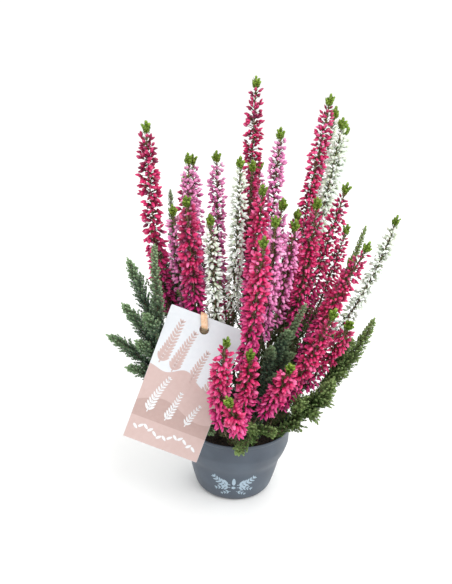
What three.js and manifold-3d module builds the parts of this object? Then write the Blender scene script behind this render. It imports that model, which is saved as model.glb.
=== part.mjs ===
// Potted heather (Calluna): three colours of bud heather in one low plastic pot, with a hang tag.
// Every flowering spike is a leafy stem that runs up through a sleeve of buds and ends in a green tuft.
// The stems of one cutting spring from one woody crown, and the crowns stand in holes in the peat.
// Millimetres, +Z up. The origin is the centre of the pot's base, and -Y is the front.
import * as THREE from 'three';
import Module from 'manifold-3d';
import { mergeVertices } from 'three/addons/utils/BufferGeometryUtils.js';

const wasm = await Module();
wasm.setup();

// Pot, 10.5 cm across the rim
const potHeight = 70;
const rimRadius = 52.5;
const collarFoot = 52;
const potWall = 1.2;
const potFloor = 1.6;
const potSides = 32;
const drainCount = 4;
const drainRadius = 2.4;
const drainRing = 22;

// Peat
const peatTop = 61;
const peatGap = 0.6;
const seatGap = 0.3;
const mouthGap = 1.5;
const crownDepth = 14;
const crownRise = 5;
const shootDepth = 10;
const pegRadius = 1.5;

// Flowering spikes
const stemRadius = 0.8;
const leafReach = 3.8;
const leafStep = 36;
const tuftLength = 11;
const tuftReach = 4.2;
const neckLength = 14;
const budReach = 8;
const budRoot = 2.9;
const budStep = 8.4;
const boreRadius = 2.24;
const crownRadius = 3.8;

// Leafy shoots without flowers
const shootRoot = 0.9;
const shootStep = 11.6;

// Tag and its rubber loop
const tagWidth = 68;
const tagHeight = 122;
const tagThick = 0.6;
const tagHoleRadius = 4.2;
const tagHoleDrop = 11;
const tagCentre = [-47.7, -50.3, 130.7];
const tagTilt = { roll: 17.8, lean: -18, turn: -0.6 };
const tagClear = 3.5;
const loopWidth = 5.8;
const loopLean = 0.42;
const loopThick = 0.9;

const colours = {
  crimson: 0xc2185b,
  pink: 0xd884bd,
  white: 0xf0f0e2,
  stem: 0x6f9433,
  shoot: 0x5b7a5a,
  peat: 0x2b211b,
  pot: 0x626e79,
  card: 0xe6d2cb,
  rubber: 0xf0c290,
};

// Woody crowns: where each cutting stands in the peat
const crowns = {
  crimson_left: [-28, -4],
  crimson_back: [4, 24],
  crimson_right: [28, -10],
  crimson_front: [-3, -33],
  pink_left: [-22, 20],
  pink_middle: [8, -3],
  white_front: [-13, -16],
  white_right: [26, 20],
};

// Spikes by crown: the tip's x, y, z, the length that is in bud, and how soon the stem turns upright
const spikes = {
  crimson_left: [
    [-88, 10, 343, 150, 0.8],
    [-50, -44, 294, 98, 0.3],
    [-60, 84, 285, 100, 0],
  ],
  crimson_back: [
    [3, 14, 314, 95, 0],
    [3, 46, 381, 145, 0],
    [-28, 112, 225, 90, 0],
  ],
  crimson_right: [
    [67, 30, 370, 150, -0.7],
    [82, -10, 303, 115, -0.5],
    [55, -36, 295, 110, 0],
    [44, 2, 276, 80, 0],
    [98, -48, 264, 115, 0],
    [92, -18, 242, 75, 0],
    [100, 72, 245, 90, 0],
    [71, -80, 217, 108, 0],
    [87, -62, 200, 85, 0],
  ],
  crimson_front: [
    [11, -36, 304, 115, 0],
    [12, -84, 275, 115, 0],
    [-12, -96, 196, 90, 1],
    [6, -88, 181, 80, 0.9],
    [-9, -107, 146, 48, 1],
    [38, -92, 172, 75, 0.6],
  ],
  pink_left: [
    [-53, 18, 317, 110, 0.2],
    [-50, 38, 313, 100, 0],
    [-29, 36, 317, 110, 0],
    [-63, -15, 279, 90, 0.3],
    [-90, 62, 240, 90, 0],
  ],
  pink_middle: [
    [26, 25, 341, 125, 0],
    [29, -18, 289, 90, 0],
    [21, -58, 284, 100, 0],
    [38, -46, 279, 85, 0],
    [12, 95, 300, 100, 0],
    [62, 122, 205, 85, 0],
  ],
  white_front: [
    [-31, -30, 276, 105, 0],
    [-8, -12, 321, 120, 0],
  ],
  white_right: [
    [76, 56, 357, 130, 0.2],
    [80, 36, 350, 105, 0],
    [90, 74, 340, 110, 0],
    [134, 20, 269, 115, 0.5],
    [76, 102, 255, 85, 0],
  ],
};

// Leafy shoots: the foot in the peat, the tip, how far the leaves reach, how soon the shoot turns
// upright, and the tips of the side twigs with the share of the shoot at which each leaves it
const shoots = {
  left: {
    foot: [-38, -12],
    tip: [-76, -30, 248],
    reach: 7,
    upright: 1,
    twigs: [
      [-99, -22, 231, 0.42],
      [-101, -36, 195, 0.3],
      [-115, -30, 163, 0.18],
      [-82, -44, 190, 0.3],
      [-89, -42, 164, 0.2],
      [-98, -36, 136, 0.14],
      [-22, -58, 88, 0.08],
    ],
  },
  left_back: {
    foot: [-36, 12],
    tip: [-68, 22, 283],
    reach: 5.5,
    upright: 0.5,
    twigs: [
      [-80, 34, 226, 0.4],
      [-78, 16, 204, 0.3],
    ],
  },
  middle: {
    foot: [20, -28],
    tip: [51, -50, 209],
    reach: 7,
    upright: 0,
    twigs: [
      [39, -58, 186, 0.45],
      [25, -60, 172, 0.3],
      [44, -46, 160, 0.3],
      [33, -57, 143, 0.2],
    ],
  },
  right: {
    foot: [38, -16],
    tip: [113, -30, 189],
    reach: 7,
    upright: 0,
    twigs: [
      [94, -34, 169, 0.45],
      [101, -26, 152, 0.4],
      [91, -34, 139, 0.38],
    ],
  },
  right_low: {
    foot: [33, -25],
    tip: [78, -58, 143],
    reach: 7,
    upright: 0,
    twigs: [
      [76, -64, 128, 0.45],
      [66, -66, 114, 0.35],
      [53, -52, 94, 0.2],
      [52, -70, 126, 0.3],
      [62, -48, 112, 0.3],
    ],
  },
  right_back: {
    foot: [40, 5],
    tip: [107, 20, 258],
    reach: 5,
    upright: 0,
    twigs: [
      [98, 34, 206, 0.4],
      [88, 6, 158, 0.2],
    ],
  },
  front_low: {
    foot: [13, -39],
    tip: [10, -72, 103],
    reach: 6,
    upright: 0,
    twigs: [
      [32, -70, 98, 0.4],
      [0, -73, 80, 0.5],
    ],
  },
  back_left: {
    foot: [-14, 36],
    tip: [-86, 96, 150],
    reach: 7,
    upright: 0,
    twigs: [
      [-56, 96, 134, 0.3],
      [-82, 60, 126, 0.3],
    ],
  },
  back_right: {
    foot: [20, 36],
    tip: [92, 104, 150],
    reach: 7,
    upright: 0,
    twigs: [
      [56, 98, 132, 0.3],
      [86, 66, 124, 0.3],
    ],
  },
};

// A repeatable random draw from 0 to 1
function seeded(seed) {
  let state = seed;
  return () => {
    state = (state + 0x6d2b79f5) | 0;
    let t = Math.imul(state ^ (state >>> 15), 1 | state);
    t = (t + Math.imul(t ^ (t >>> 7), 61 | t)) ^ t;
    return ((t ^ (t >>> 14)) >>> 0) / 4294967296;
  };
}

const degrees = (angle) => (angle * Math.PI) / 180;

// A stem leaves its foot leaning outwards and turns up towards its tip, sooner where upright is
// more. A low one climbs first, to clear the rim.
function stemPath(foot, tip, upright = 0) {
  const across = new THREE.Vector3(tip.x - foot.x, tip.y - foot.y, 0);
  const rise = tip.z - foot.z;
  const arch = Math.min(1, Math.max(0, 1.6 - rise / 90));
  const low = foot.clone().addScaledVector(across, 0.36 - 0.3 * arch + 0.3 * upright);
  low.z += (0.32 + 0.3 * arch - 0.08 * upright) * rise;
  const high = foot.clone().addScaledVector(across, 0.76 - 0.16 * arch + 0.24 * upright);
  high.z += (0.66 + 0.3 * arch) * rise;
  return new THREE.CubicBezierCurve3(foot, low, high, tip);
}

// How far a plant reaches from its stem, at a share t of its path
function reachAt(plant, t) {
  if (plant.fixed) return tagClear;
  const fromTip = (1 - t) * plant.length;
  if (plant.kind === 'shoot') return Math.min(plant.reach, 1.6 + 14 * t);
  if (fromTip < neckLength) return tuftReach;
  if (fromTip < neckLength + plant.inBud + 4) return budReach + 0.5;
  return Math.min(leafReach, 1.6 + 8 * t);
}

// Eases neighbouring stems apart by bending their paths, with the feet and the tips kept
function easeApart(plants) {
  const samples = 20;
  const passes = 220;
  const clear = 0.9;
  const a = new THREE.Vector3();
  for (const plant of plants) {
    plant.room = Array.from({ length: samples + 1 }, (_, k) => reachAt(plant, k / samples));
  }
  for (let pass = 0; pass < passes; pass += 1) {
    for (const plant of plants) {
      plant.points = plant.room.map((_, k) => plant.path.getPoint(k / samples));
      plant.pushLow = new THREE.Vector3();
      plant.pushHigh = new THREE.Vector3();
    }
    for (let i = 0; i < plants.length; i += 1) {
      for (let j = i + 1; j < plants.length; j += 1) {
        const one = plants[i];
        const two = plants[j];
        if (one.fixed && two.fixed) continue;
        const first = one.crown === two.crown ? 6 : 2;
        for (let m = first; m <= samples; m += 1) {
          for (let n = first; n <= samples; n += 1) {
            a.subVectors(one.points[m], two.points[n]);
            const apart = a.length();
            const short = one.room[m] + two.room[n] + clear - apart;
            if (short <= 0) continue;
            a.z = 0;
            if (a.length() < 0.01) a.set(1, 0, 0);
            a.setLength(0.35 * short);
            push(one, m / samples, a, 1);
            push(two, n / samples, a, -1);
          }
        }
      }
    }
    for (const plant of plants.filter((each) => !each.fixed)) {
      plant.path.v1.add(plant.pushLow);
      plant.path.v2.add(plant.pushHigh);
    }
  }
}

function push(plant, t, step, sign) {
  plant.pushLow.addScaledVector(step, sign * 3 * t * (1 - t) * (1 - t));
  plant.pushHigh.addScaledVector(step, sign * 3 * t * t * (1 - t));
}

// Right-handed axes across a path at t, with the first one turned towards +X
function acrossAt(path, t) {
  const along = path.getTangent(t).normalize();
  const second = new THREE.Vector3().crossVectors(along, new THREE.Vector3(1, 0, 0)).normalize();
  const first = new THREE.Vector3().crossVectors(second, along);
  return { at: path.getPoint(t), along, first, second };
}

// One ring of points round a path. spread gives each point's distance out and its lift along the path.
function ring(path, t, sides, spread, turn = 0) {
  const { at, along, first, second } = acrossAt(path, t);
  return Array.from({ length: sides }, (_, k) => {
    const angle = turn + (2 * Math.PI * k) / sides;
    const { out, lift = 0 } = spread(k);
    return at
      .clone()
      .addScaledVector(first, out * Math.cos(angle))
      .addScaledVector(second, out * Math.sin(angle))
      .addScaledVector(along, lift);
  });
}

// Joins two rings of as many points. A raised point keeps all four faces round it.
function joinRings(faces, lower, upper, isRaised, inwards = false) {
  const sides = lower.length;
  for (let k = 0; k < sides; k += 1) {
    const next = (k + 1) % sides;
    const [a, b, c, d] = [lower[k], lower[next], upper[next], upper[k]];
    const pair = isRaised(k) ? [[a, b, d], [b, c, d]] : [[a, b, c], [a, c, d]];
    for (const [p, q, r] of pair) faces.push(inwards ? [p, r, q] : [p, q, r]);
  }
}

function closeRing(faces, points, facingOn) {
  for (let k = 1; k < points.length - 1; k += 1) {
    faces.push(facingOn ? [points[0], points[k], points[k + 1]] : [points[0], points[k + 1], points[k]]);
  }
}

// Closes the end of a sleeve: six points outside to three inside
function closeSleeve(faces, outer, inner, facingOn) {
  const made = [];
  for (let k = 0; k < 3; k += 1) {
    const [p, q, r] = [outer[2 * k], outer[2 * k + 1], outer[(2 * k + 2) % 6]];
    const [s, u] = [inner[k], inner[(k + 1) % 3]];
    made.push([p, q, s], [q, r, u], [q, u, s]);
  }
  for (const [p, q, r] of made) faces.push(facingOn ? [p, q, r] : [p, r, q]);
}

function geometryOf(faces) {
  const positions = new Float32Array(faces.length * 9);
  faces.flat().forEach((point, k) => point.toArray(positions, 3 * k));
  return new THREE.BufferGeometry().setAttribute('position', new THREE.BufferAttribute(positions, 3));
}

// A stem with pairs of small leaves, bare where the buds sleeve it, and its tuft of young leaves
function stemGeometry(plant, random) {
  const { path, length, inBud } = plant;
  const leafyEnd = length - neckLength - inBud - 2;
  const rows = [];
  const addRow = (fromFoot, out, lift, low = stemRadius) => rows.push({ t: fromFoot / length, out, lift, low });
  addRow(0, stemRadius * 1.5, 0);
  const leafRows = Math.max(3, Math.round((leafyEnd - 10) / leafStep));
  for (let k = 1; k <= leafRows; k += 1) {
    const up = 8 + ((leafyEnd - 10) * k) / leafRows;
    const reach = Math.min(leafReach, 1.4 + (8 * up) / length);
    addRow(up, reach * (0.8 + 0.2 * random()), 2.5, stemRadius * 1.25);
  }
  const bareRows = Math.max(2, Math.round(inBud / 45));
  for (let k = 0; k <= bareRows; k += 1) {
    addRow(leafyEnd + 1.5 + ((inBud + 1) * k) / bareRows, stemRadius, 0);
  }
  const tuft = [
    [1.5, 2.4, 1.6, 1],
    [4, 3.8, 3, 1.4],
    [6.5, 4.2, 3.6, 1.4],
    [9, 2, 2.4, 0.7],
  ];
  for (const [up, out, lift, low] of tuft) {
    addRow(length - tuftLength + up - 1, (out * tuftReach) / 4.2, lift, low);
  }
  const faces = [];
  let before = null;
  rows.forEach((row, n) => {
    const points = ring(path, row.t, 4, (k) => ((n + k) % 2 ? { out: row.low } : { out: row.out, lift: row.lift }));
    if (before) joinRings(faces, before, points, (k) => (n - 1 + k) % 2 === 0);
    else closeRing(faces, points, false);
    before = points;
  });
  const apex = path.getPoint(1);
  before.forEach((point, k) => faces.push([point, before[(k + 1) % 4], apex]));
  return geometryOf(faces);
}

// A sleeve of buds: six-sided, with every second corner drawn out to a nodding bud
function budGeometry(plant, random) {
  const { path, length, inBud } = plant;
  const start = length - neckLength - inBud;
  const count = Math.round(inBud / budStep);
  const faces = [];
  const turn = random() * Math.PI;
  let before = null;
  let first = null;
  for (let n = 0; n <= count; n += 1) {
    const down = 1 - n / count;
    const full = Math.min(1, 0.5 + 1.6 * down) * (down > 0.93 ? 0.8 : 1);
    const points = ring(
      path,
      (start + (inBud * n) / count) / length,
      6,
      (k) => {
        const ends = n === 0 || n === count;
        if ((n + k) % 2 || ends) return { out: budRoot };
        return { out: budReach * full * (0.82 + 0.22 * random()), lift: -2.6 + 3 * random() };
      },
      turn,
    );
    if (before) joinRings(faces, before, points, (k) => (n - 1 + k) % 2 === 0);
    else first = points;
    before = points;
  }
  const boreRings = Math.max(2, Math.round(inBud / 45));
  const bores = Array.from({ length: boreRings + 1 }, (_, n) =>
    ring(path, (start + (inBud * n) / boreRings) / length, 3, () => ({ out: boreRadius }), turn),
  );
  for (let n = 1; n < bores.length; n += 1) joinRings(faces, bores[n - 1], bores[n], () => true, true);
  closeSleeve(faces, first, bores[0], false);
  closeSleeve(faces, before, bores[boreRings], true);
  return geometryOf(faces);
}

// A leafy twig: four-sided, with overlapping pairs of leaves drawn out from alternate corners
function twigGeometry(path, reach, random) {
  const count = Math.max(4, Math.round(path.getLength() / shootStep));
  const faces = [];
  let before = null;
  for (let n = 0; n <= count; n += 1) {
    const share = n / count;
    const full = Math.min(1, 2.4 * share, 0.3 + 1.6 * (1 - share));
    const points = ring(path, Math.min(share, 0.96), 4, (k) => {
      if ((n + k) % 2 || n === 0) return { out: shootRoot + 0.45 * reach * full };
      const peak = shootRoot + (reach - shootRoot) * full * (0.85 + 0.15 * random());
      return { out: peak, lift: 2.4 };
    });
    if (before) joinRings(faces, before, points, (k) => (n - 1 + k) % 2 === 0);
    else closeRing(faces, points, false);
    before = points;
  }
  const apex = path.getPoint(1);
  before.forEach((point, k) => faces.push([point, before[(k + 1) % 4], apex]));
  return geometryOf(faces);
}

// Closed meshes to solids and back, for the pieces that are cut or joined
function solidOf(geometry) {
  const bare = geometry.index ? geometry.toNonIndexed() : geometry.clone();
  for (const name of Object.keys(bare.attributes)) {
    if (name !== 'position') bare.deleteAttribute(name);
  }
  const merged = mergeVertices(bare, 1e-4);
  return new wasm.Manifold(
    new wasm.Mesh({
      numProp: 3,
      vertProperties: new Float32Array(merged.attributes.position.array),
      triVerts: new Uint32Array(merged.index.array),
    }),
  );
}

function geometryFrom(solid) {
  const mesh = solid.getMesh();
  return new THREE.BufferGeometry()
    .setAttribute('position', new THREE.BufferAttribute(new Float32Array(mesh.vertProperties), 3))
    .setIndex(new THREE.BufferAttribute(new Uint32Array(mesh.triVerts), 1));
}

const group = new THREE.Group();
function addMesh(name, geometry, color, roughness) {
  const material = new THREE.MeshStandardMaterial({ color, roughness, metalness: 0, flatShading: true });
  const mesh = new THREE.Mesh(geometry, material);
  mesh.name = name;
  group.add(mesh);
  return mesh;
}

// Pot: the outside climbs from the base to the collar, the inside comes back down a wall's thickness in
const potOutside = [
  [33, 0],
  [37, 2.8],
  [41.2, 18],
  [44.4, 34],
  [48.6, 42],
  [51.6, collarFoot],
  [51.6, potHeight - 3],
  [rimRadius, potHeight - 2.4],
  [rimRadius, potHeight],
];

function insideRadiusAt(z) {
  const upper = potOutside.findIndex(([, height]) => height >= z);
  const [r1, z1] = potOutside[upper];
  const [r0, z0] = potOutside[upper - 1];
  return r0 + ((r1 - r0) * (z - z0)) / (z1 - z0) - potWall;
}

function latheFrom(profile, sides) {
  return new THREE.LatheGeometry(profile.map(([r, z]) => new THREE.Vector2(r, z)), sides).rotateX(Math.PI / 2);
}

function potGeometry() {
  const insideHeights = [potHeight, collarFoot, 42, 34, 18, 3.2];
  const inside = insideHeights.map((z) => [insideRadiusAt(z), z]);
  let pot = solidOf(latheFrom([[0, 0], ...potOutside, ...inside, [32.4, potFloor], [0, potFloor]], potSides));
  for (let k = 0; k < drainCount; k += 1) {
    const angle = (2 * Math.PI * (k + 0.5)) / drainCount;
    const hole = new THREE.CylinderGeometry(drainRadius, drainRadius, 8, 8)
      .rotateX(Math.PI / 2)
      .translate(drainRing * Math.cos(angle), drainRing * Math.sin(angle), 0);
    pot = pot.subtract(solidOf(hole));
  }
  return geometryFrom(pot);
}

// Peat: fills the pot to below the rim, with a lumpy top and a plain hole for each crown and shoot
function peatGeometry(holes) {
  const levels = [potFloor + seatGap, 18, 34, collarFoot, peatTop];
  const sides = 20;
  const faces = [];
  const round = (radius, z) =>
    Array.from({ length: sides }, (_, k) => {
      const angle = (2 * Math.PI * k) / sides;
      return new THREE.Vector3(radius * Math.cos(angle), radius * Math.sin(angle), z);
    });
  const rings = levels.map((z) => round((z < 3 ? 31.6 : insideRadiusAt(z)) - peatGap, z));
  const random = seeded(12);
  for (const radius of [38, 18]) {
    const top = round(radius, peatTop);
    for (const point of top) point.z += 1.6 * random() - 0.6;
    rings.push(top);
  }
  closeRing(faces, rings[0], false);
  for (let n = 1; n < rings.length; n += 1) joinRings(faces, rings[n - 1], rings[n], () => true);
  const centre = new THREE.Vector3(0, 0, peatTop + 0.6);
  const last = rings[rings.length - 1];
  last.forEach((point, k) => faces.push([point, last[(k + 1) % sides], centre]));
  let peat = solidOf(geometryOf(faces));
  for (const { x, y, top, foot, depth, sides: holeSides } of holes) {
    const length = depth + seatGap;
    const mouth = (radius) => (radius + seatGap) / Math.cos(Math.PI / holeSides);
    const cutter = new THREE.CylinderGeometry(mouth(top) + mouthGap, mouth(foot), length + 3, holeSides)
      .rotateX(Math.PI / 2)
      .translate(x, y, peatTop - length + (length + 3) / 2);
    peat = peat.subtract(solidOf(cutter));
  }
  return geometryFrom(peat);
}

// Where the tag hangs. Its lines stand in for it while the plants are eased apart.
const tagFrame = new THREE.Matrix4().makeRotationFromEuler(
  new THREE.Euler(degrees(tagTilt.lean), degrees(tagTilt.roll), degrees(tagTilt.turn), 'ZXY'),
);
tagFrame.setPosition(...tagCentre);

const tagLines = [-30, -20, -10, 0, 10, 20, 30].map((x) => {
  const [bottom, top] = [-tagHeight / 2, tagHeight / 2];
  const ends = [bottom, bottom / 3, top / 3, top].map((z) => new THREE.Vector3(x, 0, z).applyMatrix4(tagFrame));
  return { fixed: true, path: new THREE.CubicBezierCurve3(...ends) };
});

// Plants: every path is laid first, so that all of them can be eased apart together
const plants = [];
for (const [crown, rows] of Object.entries(spikes)) {
  rows.forEach(([x, y, z, inBud, upright], n) => {
    const [cx, cy] = crowns[crown];
    const outwards = new THREE.Vector3(x - cx, y - cy, 0).setLength(1.8);
    const foot = new THREE.Vector3(cx, cy, peatTop + 2).add(outwards);
    const path = stemPath(foot, new THREE.Vector3(x, y, z), upright);
    plants.push({ kind: 'spike', crown, name: `${crown}_${n + 1}`, path, inBud, length: path.getLength() });
  });
}
for (const [name, { foot, tip, reach, upright, twigs }] of Object.entries(shoots)) {
  const start = new THREE.Vector3(foot[0], foot[1], peatTop - 1);
  const path = stemPath(start, new THREE.Vector3(...tip), upright);
  plants.push({ kind: 'shoot', crown: name, name, path, reach, twigs, length: path.getLength() });
}
easeApart([...plants, ...tagLines]);
for (const plant of plants) {
  plant.path = new THREE.CubicBezierCurve3(plant.path.v0, plant.path.v1, plant.path.v2, plant.path.v3);
  plant.length = plant.path.getLength();
}

const holes = [];

// Crowns with their stems, and the sleeves of buds
for (const [crown, [x, y]] of Object.entries(crowns)) {
  const random = seeded(100 + Math.round(x * 7 + y));
  const stub = new THREE.CylinderGeometry(crownRadius, crownRadius * 0.8, crownDepth + crownRise, 7)
    .rotateX(Math.PI / 2)
    .translate(x, y, peatTop + (crownRise - crownDepth) / 2);
  let solid = solidOf(stub);
  for (const plant of plants.filter((each) => each.crown === crown)) {
    solid = solid.add(solidOf(stemGeometry(plant, random)));
    const colour = crown.split('_')[0];
    addMesh(`buds_${plant.name}`, budGeometry(plant, random), colours[colour], 0.55);
  }
  addMesh(`stems_${crown}`, geometryFrom(solid), colours.stem, 0.75);
  holes.push({ x, y, top: crownRadius, foot: crownRadius * 0.8, depth: crownDepth, sides: 8 });
}

// Leafy shoots, each standing in a hole of its own
for (const plant of plants.filter((each) => each.kind === 'shoot')) {
  const random = seeded(900 + Math.round(plant.length));
  const foot = plant.path.v0;
  const peg = new THREE.CylinderGeometry(pegRadius, pegRadius * 0.8, shootDepth + 3, 6)
    .rotateX(Math.PI / 2)
    .translate(foot.x, foot.y, peatTop + (3 - shootDepth) / 2);
  let solid = solidOf(peg).add(solidOf(twigGeometry(plant.path, plant.reach, random)));
  plant.twigs.forEach(([x, y, z, share]) => {
    const path = stemPath(plant.path.getPoint(share), new THREE.Vector3(x, y, z), 0.5);
    solid = solid.add(solidOf(twigGeometry(path, plant.reach * 0.75, random)));
  });
  addMesh(`shoot_${plant.name}`, geometryFrom(solid), colours.shoot, 0.8);
  holes.push({ x: foot.x, y: foot.y, top: pegRadius, foot: pegRadius * 0.8, depth: shootDepth, sides: 6 });
}

addMesh('pot', potGeometry(), colours.pot, 0.45);
addMesh('peat', peatGeometry(holes), colours.peat, 0.95);

// Tag: a card with a round hole near its top edge
function tagGeometry() {
  const outline = new THREE.Shape();
  const [w, h] = [tagWidth / 2, tagHeight / 2];
  outline.moveTo(-w, -h).lineTo(w, -h).lineTo(w, h).lineTo(-w, h).closePath();
  const hole = new THREE.Path();
  hole.absarc(0, h - tagHoleDrop, tagHoleRadius, 0, 2 * Math.PI, true);
  outline.holes.push(hole);
  const card = new THREE.ExtrudeGeometry(outline, { depth: tagThick, bevelEnabled: false, curveSegments: 8 });
  return card.rotateX(Math.PI / 2).translate(0, tagThick / 2, 0).applyMatrix4(tagFrame);
}

addMesh('tag', tagGeometry(), colours.card, 0.6);

// Rubber loop: out through the tag's hole, over its top edge and round a stem behind it
function loopGeometry(holder) {
  const onTag = (x, y, z) => new THREE.Vector3(x, y, z).applyMatrix4(tagFrame);
  const acrossTag = new THREE.Vector3(1, 0, 0).transformDirection(tagFrame);
  const upStem = new THREE.Vector3(0, 0, 1);
  const holeTop = tagHeight / 2 - tagHoleDrop + tagHoleRadius;
  const edge = tagHeight / 2;
  const stem = holder.path.getPoint(0.46);
  const away = leafReach + 1;
  const tow = onTag(0, 0, edge).sub(stem).setZ(0).normalize();
  const side = new THREE.Vector3(-tow.y, tow.x, 0);
  const atStem = (along, out) => stem.clone().addScaledVector(tow, along).addScaledVector(side, out);
  const leaning = (y, z) => onTag(-loopLean * (z - holeTop + 3), y, z);
  const route = [
    [leaning(0, holeTop - 2.9), acrossTag],
    [leaning(2.6, holeTop - 2.9), acrossTag],
    [atStem(9, 2.6), upStem.clone().add(acrossTag)],
    [atStem(3, away), upStem],
    [atStem(-1.5, away * 0.9), upStem],
    [atStem(-away, 0), upStem],
    [atStem(-1.5, -away * 0.9), upStem],
    [atStem(3, -away), upStem],
    [atStem(9, -2.6), upStem.clone().add(acrossTag)],
    [leaning(3.2, edge + 1.2), acrossTag],
    [leaning(0.2, edge + 2.2), acrossTag],
    [leaning(-2, edge + 0.6), acrossTag],
    [leaning(-2.2, (edge + holeTop) / 2), acrossTag],
    [leaning(-1.9, holeTop - 1.1), acrossTag],
  ];
  const line = new THREE.CatmullRomCurve3(route.map(([point]) => point), true);
  const steps = 2 * route.length;
  const rings = Array.from({ length: steps }, (_, n) => {
    const u = n / steps;
    const along = line.getTangent(u);
    const place = u * route.length;
    const [one, two] = [route[Math.floor(place)][1], route[(Math.floor(place) + 1) % route.length][1]];
    const wide = one.clone().lerp(two, place % 1);
    wide.addScaledVector(along, -wide.dot(along)).normalize();
    const thick = new THREE.Vector3().crossVectors(along, wide);
    return [[1, 1], [-1, 1], [-1, -1], [1, -1]].map(([a, b]) =>
      line
        .getPoint(u)
        .addScaledVector(wide, (a * loopWidth) / 2)
        .addScaledVector(thick, (b * loopThick) / 2),
    );
  });
  const faces = [];
  rings.forEach((points, n) => joinRings(faces, points, rings[(n + 1) % steps], () => true));
  return geometryOf(faces);
}

addMesh('rubber_loop', loopGeometry(plants.find(({ name }) => name === 'crimson_left_2')), colours.rubber, 0.6);

export default group;
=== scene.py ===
import math

import bmesh
import bpy
import numpy as np
from mathutils import Matrix, Vector, noise


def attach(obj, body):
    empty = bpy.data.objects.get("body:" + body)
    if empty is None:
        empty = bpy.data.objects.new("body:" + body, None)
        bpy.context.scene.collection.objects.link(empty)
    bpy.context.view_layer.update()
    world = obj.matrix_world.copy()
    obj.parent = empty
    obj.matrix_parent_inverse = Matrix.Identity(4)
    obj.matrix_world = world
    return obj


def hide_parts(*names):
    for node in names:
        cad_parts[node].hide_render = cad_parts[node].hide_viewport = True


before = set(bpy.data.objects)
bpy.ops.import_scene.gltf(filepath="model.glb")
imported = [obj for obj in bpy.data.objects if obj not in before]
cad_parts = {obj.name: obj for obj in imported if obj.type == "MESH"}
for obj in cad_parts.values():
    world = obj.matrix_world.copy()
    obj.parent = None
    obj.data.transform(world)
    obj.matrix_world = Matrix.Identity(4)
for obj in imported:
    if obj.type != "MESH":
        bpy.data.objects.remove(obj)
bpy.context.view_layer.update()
mm = 0.001
noise.seed_set(5)  # otherwise its vectors change with the clock

# Camera

camera = {
    "place": (-15.0, -578.6, 417.7),  # mm
    "down": 20.8,  # degrees below the horizon
    "roll": 2.5,  # the plant's upright leans this far right in the picture
    "lens": 42.53, "sensor": 36,  # mm
    "clip": (0.01, 50),  # m
}


def addObject(name, data):
    thing = bpy.data.objects.new(name, data)
    bpy.context.scene.collection.objects.link(thing)
    return thing


def addCamera():
    data = bpy.data.cameras.new("camera")
    data.lens = camera["lens"]
    data.sensor_width = camera["sensor"]
    data.clip_start, data.clip_end = camera["clip"]
    thing = addObject("camera", data)
    down, roll = math.radians(camera["down"]), math.radians(camera["roll"])
    forward = Vector((0, math.cos(down), -math.sin(down)))
    right, up = Vector((1, 0, 0)), Vector((0, math.sin(down), math.cos(down)))
    right, up = right * math.cos(roll) + up * math.sin(roll), up * math.cos(roll) - right * math.sin(roll)
    turn = Matrix((right, up, -forward)).transposed()
    thing.matrix_world = Matrix.Translation(Vector(camera["place"]) * mm) @ turn.to_4x4()
    bpy.context.scene.camera = thing


addCamera()

# Materials


def srgb(hexText):
    values = [int(hexText[i : i + 2], 16) / 255 for i in (1, 3, 5)]
    return [v / 12.92 if v <= 0.04045 else ((v + 0.055) / 1.055) ** 2.4 for v in values] + [1.0]


def patternScale(size):
    return 1000 / size  # a texture's scale for features of that many millimetres


def connect(tree, node, inputs):
    for key, value in inputs.items():
        if isinstance(value, bpy.types.NodeSocket):
            tree.links.new(value, node.inputs[key])
        else:
            node.inputs[key].default_value = value


def addNode(tree, kind, inputs, stops=(), **settings):
    # stops are the places and colours of a ramp; what comes back is the node's outputs
    node = tree.nodes.new("ShaderNode" + kind)
    for key, value in settings.items():
        setattr(node, key, value)
    connect(tree, node, inputs)
    for n, (place, hexText) in enumerate(stops):
        elements = node.color_ramp.elements
        element = elements[n] if n < 2 else elements.new(place)
        element.position, element.color = place, srgb(hexText)
    return node.outputs


def startMaterial(name, inputs):
    material = bpy.data.materials.new(name)
    material.use_nodes = True
    shader = material.node_tree.nodes["Principled BSDF"]
    connect(material.node_tree, shader, inputs)
    return material, material.node_tree, shader


def budMaterial(name, look):
    # closed papery sepals: a soft waxy skin with fine veins, with painted shade where they overlap at each
    # bud's foot and a painted highlight toward its tip
    material, tree, shader = startMaterial(name, {"Roughness": look["roughness"], "IOR": 1.42})
    tone, age, reach = (
        addNode(tree, "Attribute", {}, attribute_name=key)["Fac"] for key in ("tone", "age", "reach")
    )
    place = addNode(tree, "TexCoord", {})["Object"]
    # real veins are finer; they are drawn 0.8 mm apart so that they show
    veins = addNode(tree, "TexNoise", {"Vector": place, "Scale": patternScale(0.8)})["Fac"]
    colour = addNode(tree, "ValToRGB", {"Fac": tone}, look["tones"])["Color"]
    for source, start, end, (hexText, most) in (
        (age, 0.75, 1.0, look["young"]),
        (age, 0.45, 0.0, look["low"]),
        # painted shade toward the foot of each bud
        (reach, 0.5, 0.0, look["foot"]),
        # painted highlight toward the tip of each bud
        (reach, 0.6, 1.0, look["tip"]),
    ):
        share = addNode(tree, "MapRange", {0: source, 1: start, 2: end, 3: 0, 4: most})["Result"]
        colour = addNode(tree, "Mix", {0: share, 6: colour, 7: srgb(hexText)}, data_type="RGBA")[2]
    normal = addNode(tree, "Bump", {"Height": veins, "Distance": 0.12 * mm})["Normal"]
    connect(tree, shader, {"Base Color": colour, "Normal": normal})
    return material


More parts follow.
